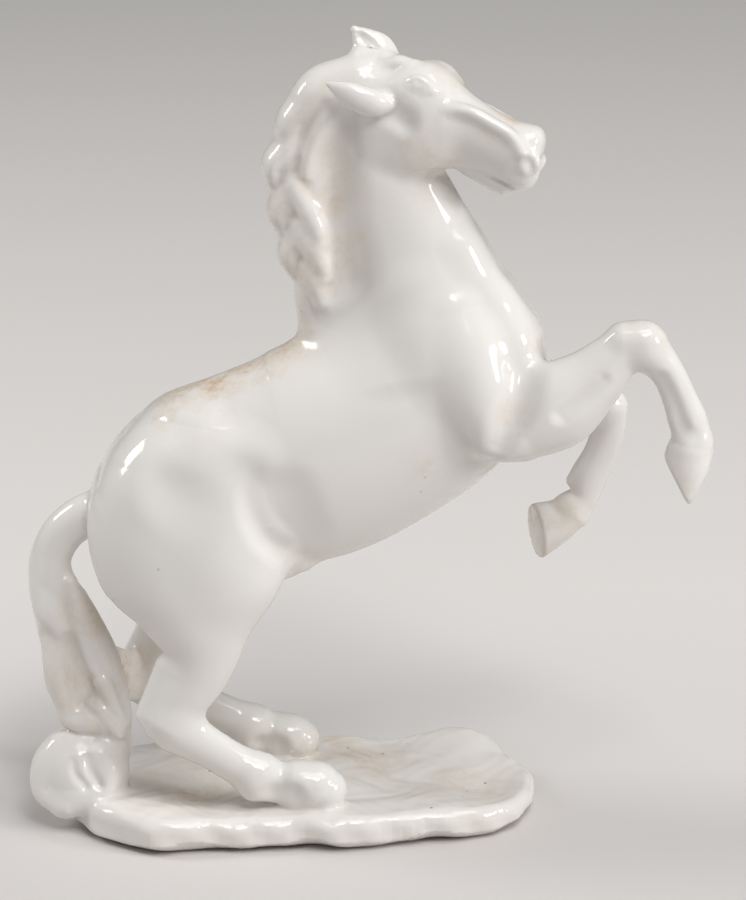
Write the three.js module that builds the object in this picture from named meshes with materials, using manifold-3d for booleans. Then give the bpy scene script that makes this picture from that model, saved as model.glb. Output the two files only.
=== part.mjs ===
// Porcelain figurine of a rearing horse on a slab of ground.
// The animal is modelled as a potter's model is built up: a section is set at each anatomical landmark,
// a loft runs through the sections of each limb, the lofts flow into each other with soft fillets, hollows are
// pressed in, and the blended skin is then cut where a mould maker cuts the model, one casting for each piece.
// Millimetres. +X is towards the head, +Y is the horse's left side, +Z is up.

import * as THREE from 'three';
import Module from 'manifold-3d';

const wasm = await Module();
wasm.setup();

// Fits between the castings
const SLIP_LINE = 0.3;
const WIDE_SLIP = 0.45;
const SHORTEST_EDGE = 0.15;
const PEG_TAPER = 0.85;
const PEG_SIDES = 18;
const PEG_SUNK = 1.5;

// Fillets where one form flows into the next
const BLEND = {
  neck: 9, blade: 7, thigh: 8, hip: 6, thighFront: 9, fold: 4, breast: 6, belly: 5, upperArm: 3,
  head: 2.6, cheek: 3.4, brow: 3, muzzle: 2.2, hock: 4, knee: 3, hoof: 2.4, leg: 4,
  lock: 1.6, strand: 1.6, tail: 2, web: 3,
};
// Roundness of the rims of the places that are pressed in or cut flat
const PRESS = { haunch: 8, flank: 6, valley: 7, face: 3, sole: 0.9, wall: 2.4 };

// Mesh fineness of each casting, the edge of one lattice cell
const CELL = {
  trunk: 5.1, neck: 4, head: 2.45, ear: 1.9, mane: 2.9,
  foreleg: 2.9, hindLeg: 3.1, tail: 3.2,
};

// Sections: landmark, x, y, z, half depth, half width, and how much wider the upper side is
const TORSO = [
  ['tail head', -60, 0, 79, 12, 13],
  ['pin bone', -52, 0, 84, 18, 17.5],
  ['croup', -38, 0, 90, 22.4, 18.8],
  ['loin', -17, 0, 94.2, 27, 21.6],
  ['girth', 2.5, 0, 103, 26.6, 21],
  ['chest', 20, 0, 112, 23, 19],
  ['breast', 31, 0, 119, 16.5, 15],
];
const NECK = [
  ['root', 13, 0, 120, 28, 16, -0.2],
  ['base', 7.4, 0, 140, 23, 13.5, -0.3],
  ['lower middle', 3.8, 0, 152.5, 19.4, 11.5, -0.3],
  ['upper middle', -0.2, 0, 164, 16.8, 10.2, -0.25],
  ['throat', -3.2, 0, 175, 13.8, 9, -0.2],
  ['poll', -4.5, 0, 184, 9.5, 7.5],
];
const HEAD = [
  ['poll', -1.5, -0.5, 187, 7, 7],
  ['temple', 4, -2, 182.8, 10.3, 8.6],
  ['eye', 11.5, -4, 180, 13, 9, 0.12],
  ['face', 19, -6, 177.2, 10.2, 7.4, 0.3],
  ['nose bone', 25.5, -7.6, 175.2, 7.9, 6, 0.32],
  ['bridle place', 31, -9, 173.2, 7.2, 5.5, 0.22],
  ['muzzle', 36.3, -10.3, 171, 8.1, 6, 0.05],
];
const FORELOCK = [
  ['poll', -2, 1, 191, 4, 5],
  ['crown', 4, 0.4, 190.8, 4, 5.6],
  ['forehead', 10, -1.6, 189.8, 3.6, 6],
  ['end', 16, -3.6, 189, 2.6, 5],
];
const LOWER_LIP = [
  ['chin groove', 24, -7.2, 168.2, 2.6, 3.4],
  ['lip', 28.5, -8.4, 166, 2.8, 3.8],
  ['chin', 32.2, -9.3, 163.8, 2.4, 3.4],
];
// On each side of the head: landmark, x, z, half depth, half width, and how far they lie off its middle line
const CHEEK = {
  off: 4.6,
  rows: [['jaw angle', 4.6, 178, 8, 4], ['cheek', 9.8, 177.6, 10.2, 5.2], ['jaw', 14.6, 176.4, 8.6, 4.2]],
};
const BROW = {
  off: 6.6,
  rows: [
    ['temple', 8, 189.8, 2, 1.8], ['orbit', 11.6, 191, 2.6, 2.4],
    ['lid', 16, 189.8, 2.2, 2], ['tear bone', 20, 187.2, 1.6, 1.6],
  ],
};
const NOSTRIL = { off: 4.6, rows: [['rear', 36, 173, 2.6, 1.8], ['wing', 39.2, 170.2, 3.2, 2.3]] };
const TEMPLE_HOLLOW = {
  off: 11,
  rows: [['ear end', 5.6, 185.4, 2.4, 2.2], ['cheek end', 9.6, 182.2, 3.2, 2.8]],
};
const MUZZLE_HOLLOW = {
  off: 8.8,
  rows: [['cheek end', 20, 177.4, 2.2, 2.2], ['lip end', 31, 172.6, 2.4, 2.2]],
};
// On both sides of the body, given for the left side
const BLADE = [
  ['withers', 11, 8.5, 138, 8, 4.5],
  ['blade', 16, 11.2, 128, 9, 6.2],
  ['point', 21, 12.6, 118, 8, 6.5],
];
const UPPER_ARM = [
  ['top', 20.5, 10.6, 133, 6.5, 6],
  ['swell', 23.5, 13.2, 124, 8.8, 8],
  ['middle', 26, 14.6, 115, 9.2, 8.8],
  ['elbow', 29.5, 15.2, 106, 8, 8.2],
  ['armpit', 33, 15.2, 101.6, 5, 6.5],
];
const BREAST = [
  ['throat end', 29, 6, 132, 6, 6],
  ['swell', 34.5, 6.5, 123.5, 6.5, 6.5],
  ['low end', 36, 7, 116, 6, 6],
];
const HIP = [
  ['point', -38, 11.4, 102, 4.2, 5],
  ['ridge', -31, 13, 100.6, 3.8, 5],
  ['loin end', -24.5, 13.8, 98.8, 3.4, 5],
];
const THIGH_FRONT = [
  ['hip', -39, 11, 93, 8, 8],
  ['upper', -37.5, 12.6, 84, 9.4, 8.6],
  ['lower', -35, 13.4, 75, 10, 8.6],
  ['stifle', -32.5, 13.4, 67, 9, 8],
];
const FLANK_FOLD = [
  ['stifle end', -31, 13, 74, 4, 5],
  ['fold', -24.5, 11, 72.6, 3.6, 4],
  ['belly end', -19, 8, 71, 2.6, 3.4],
];
const HAUNCH_HOLLOW = [['rear', -46, 31.6, 94, 8, 10], ['front', -41, 31.6, 90, 8, 10]];
const FLANK_HOLLOW = [
  ['loin', -21, 27.4, 91, 7, 5],
  ['flank', -18.5, 26.8, 84, 7, 5],
  ['belly', -15, 25, 77, 6, 5],
];
const MANE_VALLEY = [
  ['throat', -4, 11.2, 177, 3.8, 3.8],
  ['upper', -7.8, 10.6, 167, 4.6, 4.6],
  ['middle', -8, 10.4, 156, 4.8, 4.8],
  ['lower', -7, 11, 147, 5, 5],
  ['withers', -6.6, 11.4, 141, 4.8, 5.4],
];
const BELLY_FOLD = [
  ['stifle end', -28, -4, 70.5, 5, 6],
  ['fold', -22, -4, 68.2, 4, 5],
  ['front', -17, -4, 68.8, 2.4, 4],
];
const RIGHT_THIGH = [
  ['loin', -42, -5, 101, 10, 8],
  ['hip', -45, -9.5, 91, 17, 12],
  ['haunch', -46, -12.4, 79, 22.6, 11.6],
  ['thigh', -43, -14.5, 66, 20.8, 10.5],
  ['stifle', -41.5, -16, 56, 14, 8.5],
  ['gaskin top', -41.3, -16.4, 48, 9.4, 7],
  ['gaskin', -43.5, -16.7, 42, 7.9, 6],
  ['above hock', -47.6, -17, 36, 7, 5.2],
  ['hock', -50.4, -17, 31.5, 6, 4.6],
];
const LEFT_THIGH = [
  ['loin', -42, 5, 101, 10, 8],
  ['hip', -45, 9.5, 91, 17, 12],
  ['haunch', -47, 12.4, 79, 22.3, 11.6],
  ['thigh', -46, 15, 64, 18, 10],
  ['stifle', -48, 17, 52, 12, 8],
  ['gaskin top', -50, 18, 45, 9, 6.6],
  ['gaskin', -53, 18, 39.5, 7.8, 6],
  ['above hock', -56.8, 18, 33, 7, 5],
  ['hock', -58.4, 18, 28.5, 6, 4.6],
];
const RIGHT_HIND_CANNON = [
  ['hock point', -52.5, -17, 31, 4.6, 4.2],
  ['hock', -48, -17, 29, 6.2, 4.8],
  ['cannon', -39.5, -17, 23.8, 5, 4.3],
  ['low cannon', -33, -17, 19.6, 5, 4.4],
  ['fetlock', -27.5, -17, 16.6, 5.8, 5],
];
const RIGHT_HIND_FOOT = [
  ['fetlock', -28.5, -17, 15.8, 5.4, 5],
  ['pastern', -22.5, -17, 14.7, 5.2, 4.8],
  ['coronet', -18.3, -17, 14.2, 5.5, 5.4],
  ['hoof', -13.5, -17, 13.8, 6.2, 6.2],
  ['toe', -11, -17, 12.5, 5.6, 5.8],
];
const LEFT_HIND_CANNON = [
  ['hock point', -60.4, 18, 28.6, 5, 4.2],
  ['hock', -55, 18, 26.8, 6.2, 4.8],
  ['cannon', -43, 18, 22, 5, 4.3],
  ['low cannon', -35, 18, 18.6, 4.9, 4.4],
  ['fetlock', -29.5, 18, 15.8, 5.5, 4.8],
];
const LEFT_HIND_FOOT = [
  ['fetlock', -30, 18, 15.2, 5.2, 4.8],
  ['pastern', -25.5, 18, 14.1, 5, 4.7],
  ['coronet', -22.5, 18, 13.7, 5.2, 5.1],
  ['hoof', -19.5, 18, 13.2, 5.6, 5.7],
  ['toe', -18, 18, 12.4, 5.2, 5.4],
];
const RIGHT_FOREARM = [
  ['elbow', 36, -15, 106, 9, 7.8],
  ['forearm', 45, -15.5, 111.4, 10.8, 7.8],
  ['lower forearm', 53, -15.8, 117.6, 8.2, 6.2],
  ['above knee', 59.5, -16, 124, 6, 5],
  ['knee', 65, -16, 126.6, 5.2, 4.8],
];
const RIGHT_FORE_CANNON = [
  ['knee', 66.6, -16, 125.6, 5.2, 4.8],
  ['cannon', 71.5, -16, 119.4, 4.1, 3.9],
  ['low cannon', 74.4, -16, 113.2, 4.2, 3.5],
  ['fetlock', 76.4, -16, 108, 4.7, 3.8],
  ['pastern', 78, -16, 103.6, 4.3, 3.8],
  ['coronet', 77.6, -16, 101, 4.8, 4.2],
];
const RIGHT_FORE_HOOF = [
  ['coronet', 77.5, -16, 102, 4.7, 4.2],
  ['wall', 76.9, -16, 97.5, 6.1, 5.4],
  ['toe', 77, -16, 90, 6.6, 5.6],
];
const LEFT_FOREARM = [
  ['elbow', 34, 13, 109, 9, 7.5],
  ['forearm', 44, 13.8, 105.5, 9, 7],
  ['above knee', 52, 14, 104, 6.5, 5.6],
  ['knee', 58.5, 14, 103.6, 4.9, 4.8],
];
const LEFT_FORE_CANNON = [
  ['knee', 59.4, 14, 103, 4.7, 4.6],
  ['cannon', 59.6, 14, 97.2, 4.2, 3.7],
  ['low cannon', 57.7, 14, 90.6, 4.2, 3.4],
  ['fetlock', 55, 14, 84.4, 4.6, 3.7],
  ['pastern', 53.8, 14, 79.4, 3.8, 3.6],
  ['coronet', 51, 14, 76, 4.6, 4.3],
];
const LEFT_FORE_HOOF = [
  ['coronet', 51, 14, 75, 4.6, 4.3],
  ['wall', 47, 14, 72.2, 6.2, 5.3],
  ['toe', 40.5, 14, 69.2, 7.8, 6],
];
// Flat faces of the raised hooves, a point on each and the way it faces: the sole and the front of the wall
const RIGHT_SOLE = { at: [74.1, -16, 92.5], facing: [-0.88, 0, -0.47] };
const RIGHT_WALL = { at: [80, -16, 92], facing: [0.87, 0, -0.49] };
const LEFT_SOLE = { at: [41.8, 14, 70], facing: [-0.94, -0.3, -0.13] };
const LEFT_WALL = { at: [48.8, 14, 67], facing: [0.62, 0, -0.79] };
const RIGHT_EAR = [
  ['root', 3.8, -10.4, 184, 2.4, 2.6],
  ['base', 1, -12, 184.2, 3.2, 2.8],
  ['shell', -2.2, -12.6, 185.2, 3.3, 2.5],
  ['upper shell', -5.4, -12.5, 186.8, 2.7, 2],
  ['tip', -9, -12.1, 188.4, 1.2, 1.2],
];
const LEFT_EAR = [
  ['root', 3, 5.6, 189, 4.4, 3],
  ['shell', 1.4, 6.4, 192.8, 5, 2.6],
  ['upper shell', -1.2, 6.4, 195.8, 3.4, 2],
  ['tip', -3.6, 6.2, 198.4, 1.2, 1.2],
];
const TAIL = [
  ['dock', -62, 0, 80.5, 5.5, 5],
  ['root', -70, 0, 78.7, 5.4, 5],
  ['bend', -76, 0, 74, 5.2, 4.8],
  ['narrow', -79.2, 0, 67, 5.2, 5],
  ['upper skirt', -78.4, 0, 59, 6.2, 6],
  ['skirt', -75.6, 0, 51, 7.6, 6.6],
  ['middle', -73, -0.5, 44, 7.6, 6.5],
  ['lower skirt', -71.5, -1, 35.3, 7.8, 6.8],
  ['gather', -70, -1.5, 27, 8, 7.2],
];
// Strands laid on the tail, each from its root to its end
const TAIL_STRANDS = [
  [
    ['outer', -79, -2, 60, 3, 3], ['swell', -80, -3, 52, 3.4, 3.6],
    ['waist', -78.7, -4.4, 36, 3.4, 3.8], ['end', -77.4, -7, 20, 3, 3],
  ],
  [
    ['front', -76, -4, 57, 2.4, 2.4], ['swell', -75, -5.8, 46, 2.8, 2.8],
    ['waist', -73.8, -6.6, 34, 2.6, 2.6], ['end', -73, -9, 20, 2.6, 2.6],
  ],
  [
    ['inner', -72.6, -2, 58, 2, 2], ['swell', -67, -3, 46.5, 2.5, 2.8],
    ['waist', -63.2, -4.4, 35, 2.5, 2.8], ['end', -62.4, -6, 14, 2.6, 3],
  ],
  [['rear', -78, 2.6, 58, 2.8, 3], ['swell', -76, 4.2, 44, 3.4, 3.4], ['end', -73, 2, 24, 3, 3]],
];
const TUFT = [
  ['gather', -70, -2, 25, 8, 7.2],
  ['curl', -72.4, -6, 16, 10.4, 9],
  ['sole', -72.4, -7, 10, 10.4, 9.2],
];
const TUFT_CURLS = [
  [['inner', -64.6, -11, 14.5, 3, 3], ['under', -68.5, -14, 9.5, 3.2, 3], ['end', -74.5, -14, 8, 3.2, 3.2]],
  [['outer', -77.5, -8, 21, 3, 3.4], ['swell', -81, -9, 13, 3.4, 4], ['end', -77, -12, 7.5, 3, 3.4]],
];
const TAIL_WEB = [
  ['tail end', -66, 0, 38, 6.5, 2.2],
  ['middle', -63, 8, 34, 6.4, 2],
  ['hock end', -60, 15, 31, 6.6, 2.6],
];

// Mane: a band along the crest, locks down its edge, and locks on both its sides
const MANE_BAND = [
  ['poll', -2, 0, 187.5, 4, 5],
  ['first', -8, 0, 184, 4.8, 6.4],
  ['second', -11.8, 0, 176.5, 5.2, 7],
  ['third', -14, 0, 166, 5.6, 7.4],
  ['fourth', -13.6, 0, 154, 5.6, 7.6],
  ['fifth', -11.8, 0, 143, 5.2, 7.4],
  ['withers', -10.4, 0, 131.5, 4.2, 5.5],
];
// A lock of the crest: half depth and half width at its root, shoulder, swell and tip, then where those lie
const CREST_LEAN = -0.3;
const CREST_LOCK = [[3, 5], [3.6, 6.1], [3.3, 6], [2.3, 4.6]];
const CREST_LOCKS = [
  ['poll', [-4, 191], [-11, 188.2], [-15, 184], [-16, 180.5]],
  ['first', [-10.5, 183.5], [-16.5, 180.8], [-19.4, 177], [-19.9, 173]],
  ['second', [-13.5, 174.5], [-19.5, 171.2], [-22.9, 167.6], [-22.9, 163.6]],
  ['third', [-15.5, 166], [-19.6, 160.6], [-21.7, 156], [-20.7, 152]],
  ['fourth', [-14.5, 156.5], [-17.8, 150], [-19.3, 145.4], [-17.9, 141.4]],
  ['last', [-12.5, 147.5], [-14.6, 140.6], [-15.3, 134.4], [-14, 128.6]],
];
const SIDE_LOCK = { reach: 7, half: 3.2, width: 2.6, out: 6.4 };
const SIDE_LOCKS = [
  ['first', -9, 182], ['second', -12.5, 174], ['third', -14, 162], ['fourth', -12, 150.5], ['last', -11, 140],
];

// Seams: a point, the way out from the body, and the locating peg
const NECK_SEAM = { at: [10, 0, 134], out: [-0.27, 0, 0.96], peg: [5, 5] };
const HEAD_SEAM = { at: [0, 0, 178], out: [0.6, 0, 0.8], peg: [3.5, 4] };
const RIGHT_HIND_SEAM = { at: [-41.2, -16.3, 47.5], out: [-0.15, 0, -0.99], peg: [2.4, 3.5] };
const LEFT_HIND_SEAM = { at: [-50.3, 18, 44.5], out: [-0.4, 0, -0.92], peg: [2.4, 3.5] };
const RIGHT_FORE_SEAM = { at: [46, -15.3, 111], out: [1, 0, 0.1], peg: [2.6, 3.5] };
const LEFT_FORE_SEAM = { at: [46.55, 13.8, 105.5], out: [1, 0, 0.1], peg: [2.6, 3.5] };
const TUFT_SEAM = { at: [-70.3, -1.3, 25], out: [0, -0.1, -1], peg: [2.6, 3.5] };

// Ground slab: plan of its edge, height, the wave of its rim, and the vent that lets air out of the casting
const BASE_EDGE = [
  [-76, -8], [-70, -19], [-56, -29], [-40, -30], [-22, -28], [-3, -27], [15, -24], [30, -19.5], [38, -12],
  [42, 0], [41.5, 10], [37, 19], [32, 27], [23, 34.5], [10, 34], [-10, 32.5], [-32, 31.5], [-52, 29],
  [-67, 21], [-75, 7],
];
const BASE_CENTRE = [-18, 2];
const BASE_TOP = 8.6;
const BASE_STEPS = 48;
const BASE_WAVE = { from: 0.05, to: 0.9, height: 0.012, turn: 1.7 };
const BASE_VENT = { at: [-30, 2], radius: 3.2, depth: 4 };
// Rounded edge of the slab: share of the way out to the edge, and height as a share of the top
const BASE_PROFILE = [
  [0.5, 0], [0.93, 0], [0.975, 0.12], [1, 0.38], [0.992, 0.62], [0.965, 0.84], [0.92, 0.96],
  [0.84, 1], [0.7, 1], [0.54, 1], [0.37, 1], [0.19, 1],
];
// Swells and hollows of the ground: x, y, reach, height
const GROUND = [
  [26, 30, 10, 3], [-60, -22, 14, 1.6], [-40, -8, 12, -1.6], [8, 4, 14, -1.4], [30, -2, 12, -1.8],
  [-10, -22, 10, 0.8], [5, 26, 10, -0.8], [-20, 2, 9, 0.9], [-64, 8, 12, 0.8], [16, -14, 9, 0.7],
];

const GLAZE_WHITE = 0xf1efe9;
const SLAB_WHITE = 0xeae7df;

const clamp = THREE.MathUtils.clamp;
const FAR = 30;

// A smooth curve through points, open or closed
const curve = (points, closed) => new THREE.CatmullRomCurve3(
  points.map((point) => new THREE.Vector3(...point)), closed, 'catmullrom', 0.5,
);

// A loft through elliptical sections, held as a distance-like field: negative inside, zero on the skin
function loft(rows, { across = [0, 1, 0], power = 2, caps = [0.8, 0.8], fine = 8 } = {}) {
  const last = rows.length - 1;
  const spine = curve(rows.map(([, x, y, z]) => [x, y, z]), false);
  const sizes = curve(rows.map(([, , , , deep, wide, lean = 0]) => [deep, wide, lean]), false);
  const count = last * fine + 1;
  const side = new THREE.Vector3(...across);
  const stations = [];
  const box = new THREE.Box3();
  for (let i = 0; i < count; i += 1) {
    const t = i / (count - 1);
    const centre = spine.getPoint(t);
    const along = spine.getTangent(t);
    const wide = side.clone().addScaledVector(along, -side.dot(along)).normalize();
    const deep = along.clone().cross(wide);
    const size = sizes.getPoint(t);
    const halfDeep = Math.max(size.x, 0.3);
    const halfWide = Math.max(size.y, 0.3);
    stations.push({ centre, along, wide, deep, halfDeep, halfWide, lean: size.z });
    const r = Math.max(halfDeep, halfWide);
    box.expandByPoint(centre.clone().addScalar(r));
    box.expandByPoint(centre.clone().addScalar(-r));
  }
  const first = stations[0];
  const final = stations[count - 1];
  const startCap = caps[0] * Math.min(first.halfDeep, first.halfWide);
  const endCap = caps[1] * Math.min(final.halfDeep, final.halfWide);
  box.expandByScalar(12 + Math.max(startCap, endCap));
  const mix = (a, b, u) => a * (1 - u) + b * u;
  return (p) => {
    if (!box.containsPoint(p)) return FAR;
    let best = FAR;
    for (let i = 0; i < count - 1; i += 1) {
      const A = stations[i];
      const B = stations[i + 1];
      const dx = B.centre.x - A.centre.x;
      const dy = B.centre.y - A.centre.y;
      const dz = B.centre.z - A.centre.z;
      const gone = (p.x - A.centre.x) * dx + (p.y - A.centre.y) * dy + (p.z - A.centre.z) * dz;
      const s = gone / (dx * dx + dy * dy + dz * dz);
      const u = clamp(s, 0, 1);
      const qx = p.x - A.centre.x - u * dx;
      const qy = p.y - A.centre.y - u * dy;
      const qz = p.z - A.centre.z - u * dz;
      const reach = Math.hypot(qx, qy, qz);
      const halfDeep = mix(A.halfDeep, B.halfDeep, u);
      let halfWide = mix(A.halfWide, B.halfWide, u);
      if (reach - Math.max(halfDeep, halfWide * 1.4) > best) continue;
      const reachAlong = (a, b) => mix(a.x, b.x, u) * qx + mix(a.y, b.y, u) * qy + mix(a.z, b.z, u) * qz;
      const deep = reachAlong(A.deep, B.deep);
      const wide = reachAlong(A.wide, B.wide);
      const along = reachAlong(A.along, B.along);
      halfWide *= 1 + mix(A.lean, B.lean, u) * clamp(deep / halfDeep, -1, 1);
      let halfLong = Math.min(halfDeep, halfWide);
      if (i === 0 && s < 0) halfLong = startCap;
      if (i === count - 2 && s > 1) halfLong = endCap;
      const shares = [deep / halfDeep, wide / halfWide, along / halfLong];
      const k = shares.reduce((sum, share) => sum + Math.abs(share) ** power, 0) ** (1 / power);
      const f = k < 1e-6 ? -halfLong : reach - reach / k;
      if (f < best) best = f;
    }
    return best;
  };
}

// Joins of fields with a fillet of the given size
function fillet(a, b, size) {
  const h = Math.max(size - Math.abs(a - b), 0) / size;
  return Math.min(a, b) - h * h * size * 0.25;
}
const flow = (size, ...fields) => (p) => fields.map((f) => f(p)).reduce((a, b) => fillet(a, b, size));
const trimmed = (field, plane, edge) => {
  const at = new THREE.Vector3(...plane.at);
  const facing = new THREE.Vector3(...plane.facing).normalize();
  const height = facing.dot(at);
  return (p) => -fillet(-field(p), height - facing.dot(p), edge);
};
const grown = (field, by) => (p) => field(p) - by;

// The head is turned, so the forms on its sides are set off from its own middle line, the far ones tucked in
const HEAD_TURN = 0.25;
const HEAD_MIDDLE = { x: 4, y: -2 };
const FAR_TUCK = 0.85;
const FAR_DROP = 1.2;
const headAcross = [HEAD_TURN, 1, 0];
const besideHead = (rows, off, tuck, drop) => loft(rows.map(([name, x, z, deep, wide]) => [
  name, x + off * tuck * HEAD_TURN, HEAD_MIDDLE.y + off * tuck - (x - HEAD_MIDDLE.x) * HEAD_TURN, z - drop,
  deep * tuck, wide * tuck,
]), { across: headAcross });
const facePair = ({ off, rows }) => [besideHead(rows, -off, 1, 0), besideHead(rows, off, FAR_TUCK, FAR_DROP)];
const mirrored = (rows) => rows.map(([name, x, y, z, ...rest]) => [name, x, -y, z, ...rest]);
const bodyPair = (rows) => [loft(rows), loft(mirrored(rows))];

// Clay laid on a form and pressed into it, one piece after the other
const laidOn = (f, forms, size, p) => forms.reduce((sum, form) => fillet(sum, form(p), size), f);
const pressedIn = (f, forms, size, p) => forms.reduce((sum, form) => -fillet(-sum, form(p), size), f);

// Trunk and neck
const torso = loft(TORSO, { caps: [0.6, 0.7] });
const neckForm = loft(NECK, { caps: [0.3, 0.8] });
const thighs = [RIGHT_THIGH, LEFT_THIGH].map((rows) => loft(rows, { caps: [0.6, 0.6] }));
const bellyFold = [loft(BELLY_FOLD)];
const [blades, upperArms, breasts] = [BLADE, UPPER_ARM, BREAST].map(bodyPair);
const [hips, thighFronts, flankFolds] = [HIP, THIGH_FRONT, FLANK_FOLD].map(bodyPair);
const [haunchHollows, flankHollows, maneValleys] = [HAUNCH_HOLLOW, FLANK_HOLLOW, MANE_VALLEY].map(bodyPair);
function bodyForm(p) {
  let f = fillet(torso(p), neckForm(p), BLEND.neck);
  f = laidOn(f, blades, BLEND.blade, p);
  f = laidOn(f, thighs, BLEND.thigh, p);
  f = laidOn(f, hips, BLEND.hip, p);
  f = pressedIn(f, haunchHollows, PRESS.haunch, p);
  f = laidOn(f, thighFronts, BLEND.thighFront, p);
  f = pressedIn(f, flankHollows, PRESS.flank, p);
  f = laidOn(f, flankFolds, BLEND.fold, p);
  f = laidOn(f, breasts, BLEND.breast, p);
  f = pressedIn(f, maneValleys, PRESS.valley, p);
  f = laidOn(f, bellyFold, BLEND.belly, p);
  return laidOn(f, upperArms, BLEND.upperArm, p);
}

// Head
const skull = loft(HEAD, { across: headAcross, power: 2.6, caps: [0.8, 0.7] });
const [forelock, lowerLip] = [FORELOCK, LOWER_LIP].map((rows) => loft(rows, { across: headAcross }));
const [cheeks, brows, nostrils] = [CHEEK, BROW, NOSTRIL].map(facePair);
const faceHollows = [TEMPLE_HOLLOW, MUZZLE_HOLLOW].flatMap(facePair);
function headForm(p) {
  let f = laidOn(skull(p), cheeks, BLEND.cheek, p);
  f = laidOn(f, [...brows, forelock], BLEND.brow, p);
  f = laidOn(f, [...nostrils, lowerLip], BLEND.muzzle, p);
  return pressedIn(f, faceHollows, PRESS.face, p);
}

// Legs: the cannon flows into the foot, and the raised hooves have flat faces
const hindLeg = (cannon, foot) => flow(
  BLEND.hock, loft(cannon, { caps: [0.6, 0.8] }), loft(foot, { caps: [0.8, 0.95] }),
);
const foreleg = (arm, cannon, hoof, sole, wall, caps) => flow(
  BLEND.hoof,
  flow(BLEND.knee, loft(arm, { caps: [0.9, 0.9] }), loft(cannon)),
  trimmed(trimmed(loft(hoof, { caps }), sole, PRESS.sole), wall, PRESS.wall),
);
const legs = [
  hindLeg(RIGHT_HIND_CANNON, RIGHT_HIND_FOOT),
  hindLeg(LEFT_HIND_CANNON, LEFT_HIND_FOOT),
  foreleg(RIGHT_FOREARM, RIGHT_FORE_CANNON, RIGHT_FORE_HOOF, RIGHT_SOLE, RIGHT_WALL, [0.9, 0.9]),
  foreleg(LEFT_FOREARM, LEFT_FORE_CANNON, LEFT_FORE_HOOF, LEFT_SOLE, LEFT_WALL, [0.9, 0.6]),
];
const animal = (p) => laidOn(fillet(bodyForm(p), headForm(p), BLEND.head), legs, BLEND.leg, p);

// Ears, mane and tail
const rightEar = loft(RIGHT_EAR, { across: [0.15, 1, 0.2], caps: [0.8, 1] });
const leftEar = loft(LEFT_EAR, { across: [-0.25, 1, 0.1], caps: [0.8, 1] });
const crestLocks = CREST_LOCKS.map(([name, ...places]) => loft(
  places.map(([x, z], i) => [name, x, i * CREST_LEAN, z, ...CREST_LOCK[i]]),
));
const sideLock = (hand) => ([name, x, z]) => {
  const { reach, half, width, out } = SIDE_LOCK;
  return loft([
    [`${name} root`, x - 2, hand * out * 0.75, z + reach * 0.9, half * 0.7, width],
    [`${name} swell`, x + 0.6, hand * out, z, half, width],
    [`${name} tip`, x - 2.6, hand * out * 1.05, z - reach, half * 0.5, width * 0.7],
  ]);
};
const sideLocks = [...SIDE_LOCKS.map(sideLock(-1)), ...SIDE_LOCKS.map(sideLock(1))];
const maneForm = flow(BLEND.lock, loft(MANE_BAND), ...crestLocks, ...sideLocks);
const strands = TAIL_STRANDS.map((rows) => loft(rows));
const tailWeb = loft(TAIL_WEB, { across: [0.85, -0.5, 0] });
const tailForm = flow(BLEND.web, flow(BLEND.strand, loft(TAIL, { caps: [0.6, 0.6] }), ...strands), tailWeb);
const tuftForm = flow(BLEND.strand, loft(TUFT, { caps: [0.6, 0.6] }), ...TUFT_CURLS.map((rows) => loft(rows)));

// A solid from vertices and triangles
function solid(vertices, triangles) {
  return new wasm.Manifold(new wasm.Mesh({
    numProp: 3,
    vertProperties: new Float32Array(vertices),
    triVerts: new Uint32Array(triangles),
  }));
}
function solidOf(geometry) {
  const keep = new Map();
  const vertices = [];
  const place = [];
  const position = geometry.attributes.position;
  for (let i = 0; i < position.count; i += 1) {
    const point = [position.getX(i), position.getY(i), position.getZ(i)];
    const key = point.map((v) => Math.round(v * 1e4)).join(' ');
    if (!keep.has(key)) {
      keep.set(key, vertices.length / 3);
      vertices.push(...point);
    }
    place.push(keep.get(key));
  }
  const triangles = [];
  for (let i = 0; i < geometry.index.count; i += 3) {
    const [a, b, c] = [0, 1, 2].map((k) => place[geometry.index.getX(i + k)]);
    if (a !== b && b !== c && c !== a) triangles.push(a, b, c);
  }
  return solid(vertices, triangles);
}

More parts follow.
